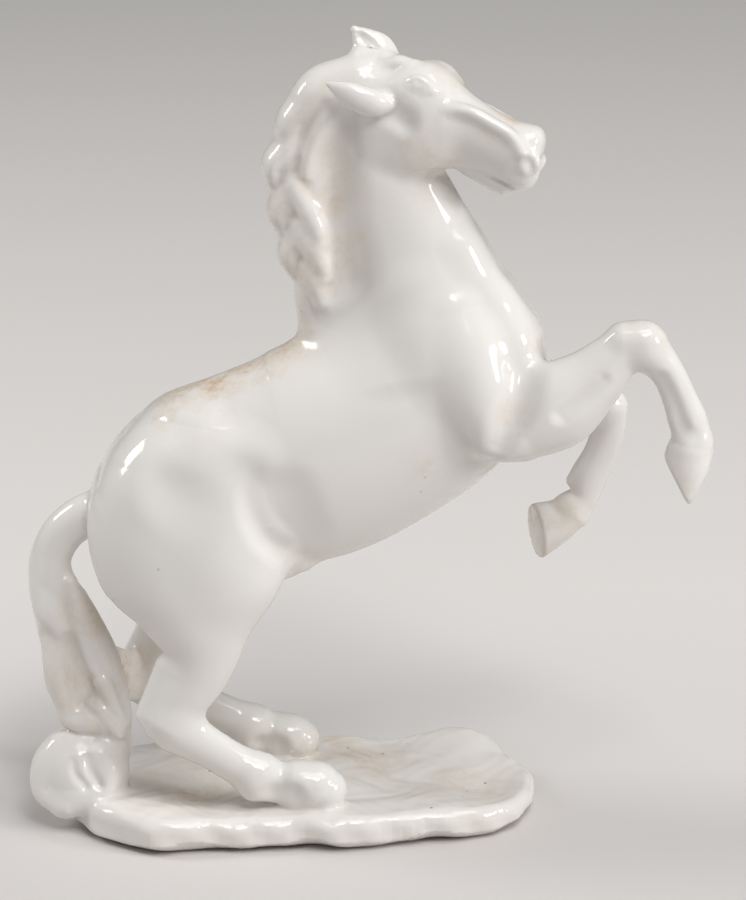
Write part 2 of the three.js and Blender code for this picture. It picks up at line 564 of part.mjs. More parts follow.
// The skin of a field inside a box: one vertex in each lattice cell that the skin crosses, drawn onto the skin,
// and one four-sided face across each lattice edge that passes through it
function skin(field, low, high, cell) {
  const start = low.map((v) => Math.floor(v / cell) * cell);
  const n = high.map((v, k) => Math.ceil((v - start[k]) / cell) + 1);
  const at = (i, j, k) => (i * n[1] + j) * n[2] + k;
  const value = new Float64Array(n[0] * n[1] * n[2]);
  const p = new THREE.Vector3();
  for (let i = 0; i < n[0]; i += 1) {
    for (let j = 0; j < n[1]; j += 1) {
      for (let k = 0; k < n[2]; k += 1) {
        const border = i === 0 || j === 0 || k === 0 || i === n[0] - 1 || j === n[1] - 1 || k === n[2] - 1;
        p.set(start[0] + i * cell, start[1] + j * cell, start[2] + k * cell);
        const f = field(p);
        value[at(i, j, k)] = border ? Math.max(f, cell * 0.5) : f;
      }
    }
  }
  closePinches(value, n, at, cell);
  const vertices = [];
  const vertexOf = new Map();
  for (let i = 0; i < n[0] - 1; i += 1) {
    for (let j = 0; j < n[1] - 1; j += 1) {
      for (let k = 0; k < n[2] - 1; k += 1) {
        const corner = (c) => value[at(i + (c & 1), j + ((c >> 1) & 1), k + ((c >> 2) & 1))];
        const sum = new THREE.Vector3();
        let crossings = 0;
        for (let c = 0; c < 8; c += 1) {
          for (const bit of [1, 2, 4]) {
            if (c & bit) continue;
            const a = corner(c);
            const b = corner(c | bit);
            if ((a < 0) === (b < 0)) continue;
            const t = a / (a - b);
            sum.x += (c & 1) + (bit === 1 ? t : 0);
            sum.y += ((c >> 1) & 1) + (bit === 2 ? t : 0);
            sum.z += ((c >> 2) & 1) + (bit === 4 ? t : 0);
            crossings += 1;
          }
        }
        if (crossings === 0) continue;
        sum.divideScalar(crossings);
        p.set(start[0] + (i + sum.x) * cell, start[1] + (j + sum.y) * cell, start[2] + (k + sum.z) * cell);
        settle(field, p, cell);
        vertexOf.set(at(i, j, k), vertices.length / 3);
        vertices.push(p.x, p.y, p.z);
      }
    }
  }
  const triangles = [];
  const face = (inward, a, b, c, d) => {
    const q = [a, b, c, d].map((key) => vertexOf.get(key));
    if (inward) q.reverse();
    const between = (u, v, e) => vertices[q[u] * 3 + e] - vertices[q[v] * 3 + e];
    const length = (u, v) => Math.hypot(between(u, v, 0), between(u, v, 1), between(u, v, 2));
    if (length(0, 2) <= length(1, 3)) triangles.push(q[0], q[1], q[2], q[0], q[2], q[3]);
    else triangles.push(q[0], q[1], q[3], q[1], q[2], q[3]);
  };
  for (let i = 0; i < n[0] - 1; i += 1) {
    for (let j = 0; j < n[1] - 1; j += 1) {
      for (let k = 0; k < n[2] - 1; k += 1) {
        const mid = at(i, j, k);
        const here = value[mid] < 0;
        const [left, front, low] = [at(i - 1, j, k), at(i, j - 1, k), at(i, j, k - 1)];
        if (here !== value[at(i + 1, j, k)] < 0) face(!here, at(i, j - 1, k - 1), low, mid, front);
        if (here !== value[at(i, j + 1, k)] < 0) face(!here, at(i - 1, j, k - 1), left, mid, low);
        if (here !== value[at(i, j, k + 1)] < 0) face(!here, at(i - 1, j - 1, k), front, mid, left);
      }
    }
  }
  return solid(vertices, triangles);
}

// Where a crease runs between two diagonal corners of a lattice face, its shallower corner is filled,
// so that no two sheets of the skin share an edge
const PINCH_FILL = 0.05;
function closePinches(value, n, at, cell) {
  const step = [at(1, 0, 0), at(0, 1, 0), at(0, 0, 1)];
  let open = true;
  while (open) {
    open = false;
    for (let i = 0; i < n[0] - 1; i += 1) {
      for (let j = 0; j < n[1] - 1; j += 1) {
        for (let k = 0; k < n[2] - 1; k += 1) {
          const here = at(i, j, k);
          for (const [u, v] of [[0, 1], [1, 2], [2, 0]]) {
            const [a, b, c, d] = [here, here + step[u], here + step[u] + step[v], here + step[v]];
            const [inA, inB, inC, inD] = [a, b, c, d].map((corner) => value[corner] < 0);
            if (inA !== inC || inB !== inD || inA === inB) continue;
            const [one, other] = inA ? [b, d] : [a, c];
            value[value[one] < value[other] ? one : other] = -PINCH_FILL * cell;
            open = true;
          }
        }
      }
    }
  }
}

// Draws a point onto the skin of a field along its slope
function settle(field, p, cell) {
  const step = 0.05;
  const probe = new THREE.Vector3();
  for (let round = 0; round < 3; round += 1) {
    const f = field(p);
    if (Math.abs(f) > cell) return;
    const slope = new THREE.Vector3(
      field(probe.copy(p).setX(p.x + step)) - field(probe.copy(p).setX(p.x - step)),
      field(probe.copy(p).setY(p.y + step)) - field(probe.copy(p).setY(p.y - step)),
      field(probe.copy(p).setZ(p.z + step)) - field(probe.copy(p).setZ(p.z - step)),
    ).divideScalar(2 * step);
    const steep = Math.max(slope.lengthSq(), 0.25);
    p.addScaledVector(slope, clamp(-f / steep, -cell * 0.3, cell * 0.3));
  }
}

// Everything beyond a seam, as a block whose face lies on the seam plane or set off from it
const BLOCK = 320;
const UP = new THREE.Vector3(0, 0, 1);
const turnTo = (out) => new THREE.Quaternion().setFromUnitVectors(UP, new THREE.Vector3(...out).normalize());
function beyondSeam(seam, setBack) {
  const block = new THREE.BoxGeometry(BLOCK, BLOCK, BLOCK);
  block.translate(0, 0, BLOCK / 2 + setBack);
  block.applyQuaternion(turnTo(seam.out));
  block.translate(...seam.at);
  return solidOf(block);
}
// Locating peg of a seam, pointing back into the body, and its socket with clearance all round
function pegOf(seam, clearance) {
  const [radius, length] = seam.peg;
  const whole = length + clearance + PEG_SUNK;
  const peg = new THREE.CylinderGeometry(radius * PEG_TAPER + clearance, radius + clearance, whole, PEG_SIDES);
  peg.rotateX(Math.PI / 2);
  peg.translate(0, 0, whole / 2 - PEG_SUNK);
  peg.applyQuaternion(turnTo(seam.out.map((v) => -v)));
  peg.translate(...seam.at);
  return solidOf(peg);
}
const within = (piece, seam, reach) => {
  const off = beyondSeam(seam, -SLIP_LINE / 2);
  return piece.subtract(reach ? off.intersect(reach) : off).subtract(pegOf(seam, SLIP_LINE));
};
const beyond = (piece, seam) => piece.intersect(beyondSeam(seam, SLIP_LINE / 2)).add(pegOf(seam, 0));
// Room for the pieces that a casting lies on: their skin with the slip line added, on their own lattice
const room = ([form, low, high, cell], gap) => skin(grown(form, gap), low, high, cell);
const onto = (piece, under, gap = SLIP_LINE) => piece.subtract(room(under, gap));

// Ground slab: rings from the middle of the underside, round the edge, to the middle of the top
function ground(x, y) {
  let z = BASE_TOP;
  for (const [gx, gy, reach, height] of GROUND) {
    z += height * Math.exp(-((x - gx) ** 2 + (y - gy) ** 2) / (reach * reach));
  }
  return z;
}
function slab(growth) {
  const edge = curve(BASE_EDGE.map(([x, y]) => [x, y, 0]), true);
  const centre = new THREE.Vector3(...BASE_CENTRE, 0);
  const vertices = [centre.x, centre.y, -growth];
  for (const [share, height] of BASE_PROFILE) {
    for (let i = 0; i < BASE_STEPS; i += 1) {
      const spoke = edge.getPoint(i / BASE_STEPS).sub(centre);
      const length = spoke.length();
      const onRim = height > BASE_WAVE.from && height < BASE_WAVE.to;
      const wave = 1 + (onRim ? BASE_WAVE.height * Math.sin(i * BASE_WAVE.turn) : 0);
      spoke.multiplyScalar(share * wave + growth * share / length);
      const x = centre.x + spoke.x;
      const y = centre.y + spoke.y;
      const z = height === 0 ? -growth : ground(x, y) * height + growth;
      vertices.push(x, y, z);
    }
  }
  vertices.push(centre.x, centre.y, ground(centre.x, centre.y) + growth);
  const rings = BASE_PROFILE.length;
  const id = (ring, i) => 1 + ring * BASE_STEPS + (i % BASE_STEPS);
  const triangles = [];
  for (let i = 0; i < BASE_STEPS; i += 1) {
    triangles.push(0, id(0, i + 1), id(0, i));
    for (let ring = 0; ring < rings - 1; ring += 1) {
      const [a, b, c, d] = [id(ring, i), id(ring, i + 1), id(ring + 1, i + 1), id(ring + 1, i)];
      triangles.push(a, b, c, a, c, d);
    }
    triangles.push(id(rings - 1, i), id(rings - 1, i + 1), 1 + rings * BASE_STEPS);
  }
  return solid(vertices, triangles);
}
function vent() {
  const hole = new THREE.CylinderGeometry(BASE_VENT.radius, BASE_VENT.radius, BASE_VENT.depth * 2, PEG_SIDES);
  hole.rotateX(Math.PI / 2);
  hole.translate(...BASE_VENT.at, 0);
  return solidOf(hole);
}

// Castings
const base = slab(0).subtract(vent());
const baseClear = slab(WIDE_SLIP);

// The two hind seams face different ways, so each cuts only its own side
const halfBlock = (hand) => {
  const block = new THREE.BoxGeometry(BLOCK, BLOCK, BLOCK);
  block.translate(0, hand * BLOCK / 2, 0);
  return solidOf(block);
};
const rightSide = halfBlock(-1);
const leftSide = halfBlock(1);

// Room that each skin is taken in, a little past its seams, with the lattice it is taken on
const TRUNK_SKIN = [animal, [-76, -34, 34], [58, 34, 152], CELL.trunk];
const NECK_SKIN = [animal, [-32, -24, 118], [46, 24, 200], CELL.neck];
const HEAD_SKIN = [animal, [-20, -26, 156], [50, 14, 204], CELL.head];
const RIGHT_HIND_SKIN = [animal, [-68, -30, 2], [4, -6, 58], CELL.hindLeg];
const LEFT_HIND_SKIN = [animal, [-74, 8, 2], [-4, 32, 56], CELL.hindLeg];
const RIGHT_FORE_SKIN = [animal, [36, -30, 80], [92, 0, 138], CELL.foreleg];
const LEFT_FORE_SKIN = [animal, [36, 2, 56], [72, 26, 122], CELL.foreleg];
const RIGHT_EAR_SKIN = [rightEar, [-14, -16, 174], [12, -2, 194], CELL.ear];
const LEFT_EAR_SKIN = [leftEar, [-10, -2, 180], [12, 14, 204], CELL.ear];
const MANE_SKIN = [maneForm, [-34, -18, 118], [12, 18, 206], CELL.mane];
const UNDER_MANE = [animal, MANE_SKIN[1], MANE_SKIN[2], CELL.neck];
const TAIL_SKIN = [flow(BLEND.tail, tailForm, tuftForm), [-94, -22, -2], [-44, 26, 94], CELL.tail];

let trunk = within(within(skin(...TRUNK_SKIN), NECK_SEAM), RIGHT_FORE_SEAM);
trunk = within(within(trunk, RIGHT_HIND_SEAM, rightSide), LEFT_HIND_SEAM, leftSide);
trunk = trunk.subtract(pegOf(LEFT_FORE_SEAM, SLIP_LINE));
const neck = within(beyond(skin(...NECK_SKIN), NECK_SEAM), HEAD_SEAM);
const head = beyond(skin(...HEAD_SKIN), HEAD_SEAM);
const rightForeleg = beyond(skin(...RIGHT_FORE_SKIN), RIGHT_FORE_SEAM);
const leftForeleg = beyond(skin(...LEFT_FORE_SKIN), LEFT_FORE_SEAM);
const rightHindLeg = beyond(skin(...RIGHT_HIND_SKIN), RIGHT_HIND_SEAM).subtract(baseClear);
const leftHindLeg = beyond(skin(...LEFT_HIND_SKIN), LEFT_HIND_SEAM).subtract(baseClear);

// Applied pieces lie on the skin under them with the slip line between
const rightEarPiece = onto(skin(...RIGHT_EAR_SKIN), HEAD_SKIN, WIDE_SLIP);
const leftEarPiece = onto(skin(...LEFT_EAR_SKIN), HEAD_SKIN, WIDE_SLIP);
const headRoom = room(HEAD_SKIN, WIDE_SLIP).intersect(beyondSeam(HEAD_SEAM, -SLIP_LINE));
const neckRoom = room(UNDER_MANE, WIDE_SLIP).subtract(beyondSeam(HEAD_SEAM, SLIP_LINE));
const maneOnHead = skin(...MANE_SKIN).subtract(neckRoom.add(headRoom));
const mane = onto(onto(maneOnHead, RIGHT_EAR_SKIN), LEFT_EAR_SKIN);
const tailSkin = skin(...TAIL_SKIN);
const tail = onto(onto(within(tailSkin, TUFT_SEAM), TRUNK_SKIN, WIDE_SLIP), LEFT_HIND_SKIN, WIDE_SLIP);
const tailTuft = beyond(tailSkin, TUFT_SEAM).subtract(baseClear);

// Assembly
const castings = {
  base, trunk, neck, head, right_ear: rightEarPiece, left_ear: leftEarPiece, mane,
  right_foreleg: rightForeleg, left_foreleg: leftForeleg,
  right_hind_leg: rightHindLeg, left_hind_leg: leftHindLeg, tail, tail_tuft: tailTuft,
};

// The largest of the bodies that a cut leaves is the casting, the rest is trimmed off as the fettler does
function largest(piece) {
  return piece.decompose().sort((a, b) => b.volume() - a.volume())[0];
}

// Closes up the edges that a cut leaves too short to matter: the two ends of one become a single vertex,
// where exactly two faces share it and no third way round joins its ends
function fettled({ vertProperties, triVerts }) {
  const faces = [];
  for (let i = 0; i < triVerts.length; i += 3) faces.push([...triVerts.slice(i, i + 3)]);
  const point = (v) => new THREE.Vector3().fromArray(vertProperties, v * 3);
  const facesOf = new Map();
  faces.forEach((face) => face.forEach((v) => facesOf.set(v, (facesOf.get(v) ?? new Set()).add(face))));
  const around = (v) => new Set([...facesOf.get(v)].flat().filter((w) => w !== v));
  const gone = new Set();
  for (const face of faces) {
    for (let k = 0; k < 3 && !gone.has(face); k += 1) {
      const a = face[k];
      const b = face[(k + 1) % 3];
      if (point(a).distanceTo(point(b)) > SHORTEST_EDGE) continue;
      const near = around(b);
      if ([...around(a)].filter((v) => near.has(v)).length !== 2) continue;
      for (const other of [...facesOf.get(b)]) {
        if (other.includes(a)) {
          gone.add(other);
          other.forEach((v) => facesOf.get(v).delete(other));
        } else {
          other[other.indexOf(b)] = a;
          facesOf.get(a).add(other);
        }
      }
      facesOf.delete(b);
    }
  }
  const order = new Map([...facesOf.keys()].map((v, i) => [v, i]));
  return {
    vertices: [...order.keys()].flatMap((v) => point(v).toArray()),
    triangles: faces.filter((face) => !gone.has(face)).flat().map((v) => order.get(v)),
  };
}

const horse = new THREE.Group();
for (const [name, piece] of Object.entries(castings)) {
  const { vertices, triangles } = fettled(largest(piece).getMesh());
  const geometry = new THREE.BufferGeometry();
  geometry.setAttribute('position', new THREE.Float32BufferAttribute(vertices, 3));
  geometry.setIndex(new THREE.Uint32BufferAttribute(triangles, 1));
  geometry.computeVertexNormals();
  const material = new THREE.MeshStandardMaterial({
    color: name === 'base' ? SLAB_WHITE : GLAZE_WHITE, roughness: 0.12, metalness: 0,
  });
  const part = new THREE.Mesh(geometry, material);
  part.name = name;
  horse.add(part);
}

// The origin is the middle of the footprint, on the surface that the slab stands on
const extent = new THREE.Box3().setFromObject(horse);
const middle = extent.getCenter(new THREE.Vector3());
horse.position.set(-middle.x, -middle.y, -extent.min.z);

export default horse;
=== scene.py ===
# %% [markdown]
# # A rearing horse in white porcelain
# This lesson rebuilds a glazed figurine: a horse that rears on its hind legs, on a low slab of ground.
# The real one is cast in parts, stuck together wet, smoothed over and fired, so it reads as one soft skin.
# We model it as its maker did: rolls of clay are laid along the bones, pressed together and smoothed.
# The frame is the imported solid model. Everything below is in its axes: +X to the head, +Z up.

# %% Open the frame
import bpy
import math
import numpy as np
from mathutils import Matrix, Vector


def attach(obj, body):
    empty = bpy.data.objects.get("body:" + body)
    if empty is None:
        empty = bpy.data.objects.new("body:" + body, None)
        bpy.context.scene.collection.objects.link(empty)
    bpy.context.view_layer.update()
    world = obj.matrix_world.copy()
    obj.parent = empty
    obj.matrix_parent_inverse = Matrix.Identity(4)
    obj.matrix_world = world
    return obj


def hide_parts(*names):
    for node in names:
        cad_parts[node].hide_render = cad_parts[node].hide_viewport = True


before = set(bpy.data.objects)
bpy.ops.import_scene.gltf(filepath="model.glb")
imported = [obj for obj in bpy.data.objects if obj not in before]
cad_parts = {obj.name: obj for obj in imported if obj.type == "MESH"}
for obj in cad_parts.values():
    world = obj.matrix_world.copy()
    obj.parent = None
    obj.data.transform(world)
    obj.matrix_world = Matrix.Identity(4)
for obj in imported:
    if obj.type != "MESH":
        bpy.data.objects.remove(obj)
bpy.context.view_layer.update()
MM = 0.001
PLACE = np.array([0.720, -2.326, 0.0])

# %% [markdown]
# ## The camera
# The photographer stood about 0.85 m away with a long lens, a little above the horse and square to its
# side. A long lens keeps the slab from flaring, so the distance is set first and the lens follows.

# %% Camera
DISTANCE = 850.0
RISE = math.radians(16.5)
FOCAL_LENGTH = 138.3
LOOK_AT = np.array([0.85, 0.0, 95.5]) + PLACE
BACK = np.array([0.0, -math.cos(RISE), math.sin(RISE)])


def put_in_scene(name, data):
    """A new object, linked to the scene."""
    thing = bpy.data.objects.new(name, data)
    bpy.context.scene.collection.objects.link(thing)
    return thing


lens = bpy.data.cameras.new("camera")
lens.sensor_width = 36
lens.lens = FOCAL_LENGTH
lens.clip_start = 0.01
camera = put_in_scene("camera", lens)
camera.location = (LOOK_AT + DISTANCE * BACK) * MM
camera.rotation_euler = Vector(-BACK).to_track_quat("-Z", "Y").to_euler()
bpy.context.scene.camera = camera
bpy.context.scene.view_settings.view_transform = "Standard"
print("camera at", [round(v, 3) for v in camera.location])

# %% [markdown]
# ## A roll of clay
# Every muscle, leg and lock of hair starts as a roll: an oval section carried along a curved path.
# A roll on its own could be a swept tube mesh, but tubes only cross each other, and clay flows together.
# So a roll answers a question instead: how far is this point outside you? Such answers can be blended.

# %% Roll
FAR = 30.0
REACH = 10.0
THINNEST = 0.3


def cubic_spans(rows):
    """Coefficients of the cubic through each pair of rows; the slope at a row is half the step across."""
    ends = np.vstack([2 * rows[0] - rows[1], rows, 2 * rows[-1] - rows[-2]])
    p0, p1, p2, p3 = ends[:-3], ends[1:-2], ends[2:-1], ends[3:]
    return 0.5 * np.stack([2 * p1, p2 - p0, 2 * p0 - 5 * p1 + 4 * p2 - p3, 3 * p1 - p0 - 3 * p2 + p3])


class Roll:
    """An oval section along a path. A row is x, y, z, half depth, half width, and how wide the top is.

    For a point: the nearest place on the path comes from two Newton steps; the offset q from there is split
    into depth x, width y and, past an end, length z. With k = root(x/a squared + y/b squared + z/c squared)
    the answer is |q| - |q| / k, which is zero on the oval, negative inside and about the distance outside.
    """

    def __init__(self, rows, across=(0, 1, 0), power=2.0, ends=(1.0, 1.0)):
        rows = np.array([list(row) + [0.0] * (6 - len(row)) for row in rows], float)
        self.cubics = cubic_spans(rows)
        self.last = len(rows) - 1
        self.across = np.asarray(across, float)
        self.power = power
        self.tries = np.linspace(0, self.last, self.last * 5 + 1)
        first = self.at(self.tries)[0]
        self.path = first[:, :3]
        wide = np.maximum(first[:, 3], first[:, 4]) * (1 + np.abs(first[:, 5]))
        slim = np.minimum(first[:, 3], first[:, 4])
        self.ends = (ends[0] * slim[0], ends[1] * slim[-1])
        self.low = (self.path - wide[:, None]).min(0) - max(self.ends)
        self.high = (self.path + wide[:, None]).max(0) + max(self.ends)

    def at(self, u):
        """The row, its slope and its bend at place u along the path, for all u at once."""
        i = np.clip(u.astype(int), 0, self.last - 1)
        t = (u - i)[:, None]
        k0, k1, k2, k3 = self.cubics[:, i]
        row = ((k3 * t + k2) * t + k1) * t + k0
        slope = (3 * k3[:, :3] * t + 2 * k2[:, :3]) * t + k1[:, :3]
        return row, slope, 6 * k3[:, :3] * t + 2 * k2[:, :3]

    def outside(self, P):
        """The answer for all points of P at once, by the formula above."""
        u = self.tries[((self.path**2).sum(1) - 2 * P @ self.path.T).argmin(1)]
        for _ in range(2):
            row, slope, bend = self.at(u)
            q = P - row[:, :3]
            speed = (slope * slope).sum(1)
            step = (q * slope).sum(1) / np.maximum(speed - (q * bend).sum(1), 0.4 * speed)
            u = np.clip(u + step, 0, self.last)
        row, slope, _ = self.at(u)
        q = P - row[:, :3]
        along = slope / np.sqrt((slope * slope).sum(1))[:, None]
        side = self.across - along * (along @ self.across)[:, None]
        side /= np.sqrt((side * side).sum(1))[:, None]
        x = (q * np.cross(along, side)).sum(1)
        y = (q * side).sum(1)
        z = np.where((u <= 0) | (u >= self.last), (q * along).sum(1), 0)
        a = np.maximum(row[:, 3], THINNEST)
        b = np.maximum(row[:, 4], THINNEST) * (1 + row[:, 5] * np.clip(x / a, -1, 1))
        c = np.where(u <= 0, self.ends[0], self.ends[1])
        p = self.power
        k = (np.abs(x / a)**p + np.abs(y / b)**p + np.abs(z / c)**p)**(1 / p)
        r = np.sqrt(x * x + y * y + z * z)
        return np.where(k < 1e-6, -np.minimum(a, b), r - r / np.maximum(k, 1e-6))

    def __call__(self, P):
        """Only points within REACH of the roll's box are asked; the others are simply FAR."""
        close = np.all((P > self.low - REACH) & (P < self.high + REACH), axis=1)
        out = np.full(len(P), FAR)
        if close.any():
            out[close] = np.minimum(self.outside(P[close]), FAR)
        return out


def pair(rows, **more):
    """The same roll on the right (-Y) and on the left (+Y)."""
    return [Roll([(x, s * y, *rest) for x, y, *rest in rows], **more) for s in (-1, 1)]


print("a roll of clay is ready")

# %% [markdown]
# ## Thumb and tool
# Two rolls are joined by smoothing the crease between them, and a hollow is pressed with a rounded tool.
# Both are one formula. A plain union takes the smaller answer; a smoothed one also takes off a little
# where the two answers are nearly equal, which fills the crease with a fillet about as wide as k.

# %% Join and press


def join(a, b, k):
    """The smaller of a and b, less h squared times k/4, where h = max(k - |a - b|, 0) / k."""
    h = np.maximum(k - np.abs(a - b), 0) / k
    return np.minimum(a, b) - h * h * k * 0.25


def press(a, b, k):
    """What is inside a and outside b, with the rim rounded: the join of the two turned inside out."""
    return -join(-a, b, k)


def add(f, rolls, k, P):
    """Each roll in turn is joined to f with a fillet of k."""
    for roll in rolls:
        f = join(f, roll(P), k)
    return f


def dig(f, rolls, k, P):
    """Each roll in turn is pressed into f with a rim of k."""
    for roll in rolls:
        f = press(f, roll(P), k)
    return f


print("two flat answers of 1 join to", join(1.0, 1.0, 2.0))

# %% [markdown]
# ## Trunk and neck
# The barrel runs up from the croup to the breast, and the neck grows out of it, deep and flat-sided.
# Rolls at the places of the real muscles keep both sides even.

# %% Trunk and neck rolls
barrel = Roll([
    (-60, 0, 79, 12, 13), (-52, 0, 84, 18, 17.5), (-38, 0, 90, 22.4, 18.8), (-17, 0, 94.2, 27, 21.6),
    (2.5, 0, 103, 26.6, 21), (20, 0, 112, 23, 19), (31, 0, 119, 16.5, 15)], ends=(.6, .7))
neck = Roll([
    (13, 0, 120, 28, 16, -.2), (7.4, 0, 140, 23, 13.5, -.3), (3.8, 0, 152.5, 19.4, 11.5, -.3),
    (-.2, 0, 164, 16.8, 10.2, -.25), (-3.2, 0, 175, 13.8, 9, -.2),
    (-4.5, 0, 184, 9.5, 7.5)], ends=(.3, .8))
blades = pair([(11, 8.5, 138, 8, 4.5), (16, 11.2, 128, 9, 6.2), (21, 12.6, 118, 8, 6.5)])
triceps = pair([
    (20.5, 10.6, 133, 6.5, 6), (23.5, 13.2, 124, 8.8, 8), (26, 14.6, 115, 9.2, 8.8),
    (29.5, 15.2, 106, 8, 8.2), (33, 15.2, 101.6, 5, 6.5)], ends=(1, .7))
breasts = pair([(29, 6, 132, 6, 6), (34.5, 6.5, 123.5, 6.5, 6.5), (36, 7, 116, 6, 6)])
mane_valley = pair([
    (-5.4, 11.2, 177, 3.8, 3.8), (-9.6, 11.2, 167, 4.6, 4.6), (-9.8, 11, 157, 4.8, 4.8),
    (-7.8, 11, 147.6, 5, 5), (-6.8, 11, 141, 5, 5.4)])
throat_swells = sum([pair(rows) for rows in (
    [(21.4, 6, 147, 5.2, 5.2), (24.6, 6.2, 140.4, 5.2, 5.2)],
    [(28.8, 7, 135, 5, 5), (31, 7.4, 131, 5, 5)],
    [(33.6, 10, 125.4, 5, 5), (35, 10.6, 121.6, 5, 5)],
)], [])
arm_groove = pair([
    (38.8, 21.6, 122.5, 2, 2.4), (36.6, 23.6, 116, 2.8, 3.2), (33.6, 24.6, 109.5, 2.8, 3.2),
    (31, 24.8, 103.5, 2, 2.4)])
print("side rolls", len(blades + triceps + breasts + throat_swells))

# %% [markdown]
# ## Thighs and flanks
# A thigh is one thick roll from the croup to the hock. Haunch and flank are pressed in with a thumb, and
# folds of skin bridge from thigh to belly. A hollow pressed before a roll is joined leaves it full.

# %% Thigh and flank rolls
right_thigh = Roll([
    (-42, -5, 101, 10, 8), (-45, -9.5, 91, 17, 12), (-46, -12.4, 79, 22.6, 11.6),
    (-43, -14.5, 66, 20.8, 10.5), (-41.5, -16, 56, 14, 8.5), (-41.3, -16.4, 48, 9.4, 7),
    (-43.5, -16.7, 42, 7.9, 6), (-47.6, -17, 36, 7, 5.2), (-50.4, -17, 31.5, 6, 4.6)], ends=(.6, .6))
left_thigh = Roll([
    (-42, 5, 101, 10, 8), (-45, 9.5, 91, 17, 12), (-47, 12.4, 79, 22.3, 11.6), (-46, 15, 64, 18, 10),
    (-48, 17, 52, 12, 8), (-50, 18, 45, 9, 6.6), (-53, 18, 39.5, 7.8, 6), (-56.8, 18, 33, 7, 5),
    (-58.4, 18, 28.5, 6, 4.6)], ends=(.6, .6))
hips = pair([(-38, 11.4, 102, 4.2, 5), (-31, 13, 100.6, 3.8, 5), (-24.5, 13.8, 98.8, 3.4, 5)])
haunch_thumb = pair([(-46, 31.6, 94, 8, 10), (-41, 31.6, 90, 8, 10)])
thigh_fronts = pair([
    (-39, 11, 93, 8, 8), (-37.5, 12.6, 84, 9.4, 8.6), (-35, 13.4, 75, 10, 8.6),
    (-32.5, 13.4, 67, 9, 8)])
flank_thumb = pair([(-21, 27.4, 91, 7, 5), (-18.5, 26.8, 84, 7, 5), (-15, 25, 77, 6, 5)])
flank_crease = pair([
    (-29, 24.4, 91, 2, 2.2), (-27.4, 24, 85, 2.4, 2.8), (-24.6, 22.8, 79.4, 2.4, 3),
    (-21, 20, 75.4, 2, 2.4)])
flank_folds = pair([(-31, 13, 74, 4, 5), (-24.5, 11, 72.6, 3.6, 4), (-19, 8, 71, 2.6, 3.4)])
belly_fold = Roll([(-28, -4, 70.5, 5, 6), (-22, -4, 68.2, 4, 5), (-17, -4, 68.8, 2.4, 4)])


def trunk_and_neck(P):
    """Barrel and neck, then muscles joined and hollows pressed, from the large forms to the small."""
    f = join(barrel(P), neck(P), 9)
    f = add(f, blades, 7, P)
    f = add(f, [right_thigh, left_thigh], 8, P)
    f = add(f, hips, 6, P)
    f = dig(f, haunch_thumb, 8, P)
    f = add(f, thigh_fronts, 9, P)
    f = dig(f, flank_thumb, 6, P)
    f = dig(f, flank_crease, 3, P)
    f = add(f, flank_folds, 4, P)
    f = add(f, breasts, 6, P)
    f = dig(f, mane_valley, 7, P)
    f = add(f, throat_swells, 4, P)
    f = add(f, [belly_fold], 5, P)
    return add(f, triceps, 3, P)


print("flank rolls", len(hips + thigh_fronts + flank_folds))

# %% [markdown]
# ## The head
# The head is turned a little towards us, so its rolls are laid on a middle line that swings out by TURN.
# A boxy section gives the flat nose. The cheeks are round discs; the sides of the muzzle, the nostril
# wings, the forelock and the chin are laid on.

# %% Head rolls
TURN = 0.25
HEAD_ACROSS = (TURN, 1, 0)
POLL_X, POLL_Y = 4, -2
TUCK = .85
DROP = 1.2


def face_pair(rows, off):
    """The same roll on both sides of the head's middle line, off millimetres from it.

    The line is y = POLL_Y - (x - POLL_X) times TURN. The far roll is smaller by TUCK, and lower by DROP.
    """
    sides = []
    for s, size, low in ((-off, 1, 0), (off * TUCK, TUCK, DROP)):
        turned = [(x + s * TURN, s + POLL_Y - (x - POLL_X) * TURN, z - low, a * size, b * size)
                  for x, z, a, b in rows]
        sides.append(Roll(turned, across=HEAD_ACROSS))
    return sides


skull = Roll([
    (-1.5, -.5, 186, 6.6, 7), (4, -2, 182.4, 10, 8.6), (11.5, -4, 180, 13, 9, .12),
    (19, -6, 177.2, 10.2, 7.4), (25.5, -7.6, 175.2, 7.9, 6.4, -.05), (31, -9, 173.2, 7.2, 5.9, -.05),
    (36.3, -10.3, 171, 8.1, 6)], across=HEAD_ACROSS, power=2.6, ends=(.8, .7))
right_cheek = Roll([
    (10.6, -7, 178, 11.4, 11.6), (9.9, -10.4, 178, 10.6, 11)], across=(1, 0, 0), ends=(.3, .3))
left_cheek = Roll([(12.4, -1, 178, 11, 11), (13.2, 2, 178, 10, 10.4)], across=(1, 0, 0), ends=(.3, .3))
far_brow = Roll([(13, 3, 189.2, 1.8, 2.2), (17.6, 1.6, 188.9, 2, 2.4), (20.6, .6, 186.6, 1.5, 2)])
muzzle_sides = face_pair([
    (19.6, 178.4, 4.6, 2.4), (25.4, 177.6, 4.6, 2.5), (30, 175.4, 4.4, 2.4), (34.6, 173, 4.2, 2.2)], 5)
nostril_wings = face_pair([(36.4, 172.6, 2.4, 1.8), (39, 170, 2.8, 2.1)], 4.6)
upper_lip = Roll([(33.4, -9.6, 166.8, 2.6, 4.2), (37, -10.4, 166.5, 3, 4.6)], across=HEAD_ACROSS)
forelock = Roll([
    (-2, 1, 189.4, 3.4, 5), (3, -.5, 190.2, 3.2, 5), (7, -3.6, 192, 2.2, 3),
    (9.8, -5.2, 191.6, 1.8, 2.2)], across=HEAD_ACROSS)
chin = Roll([
    (24, -7.2, 168.2, 2.6, 3.4), (28.5, -8.4, 165.8, 2.6, 3.6),
    (32, -9.3, 163.6, 2.2, 3.2)], across=HEAD_ACROSS)
print("head rolls on a line turned by", TURN)

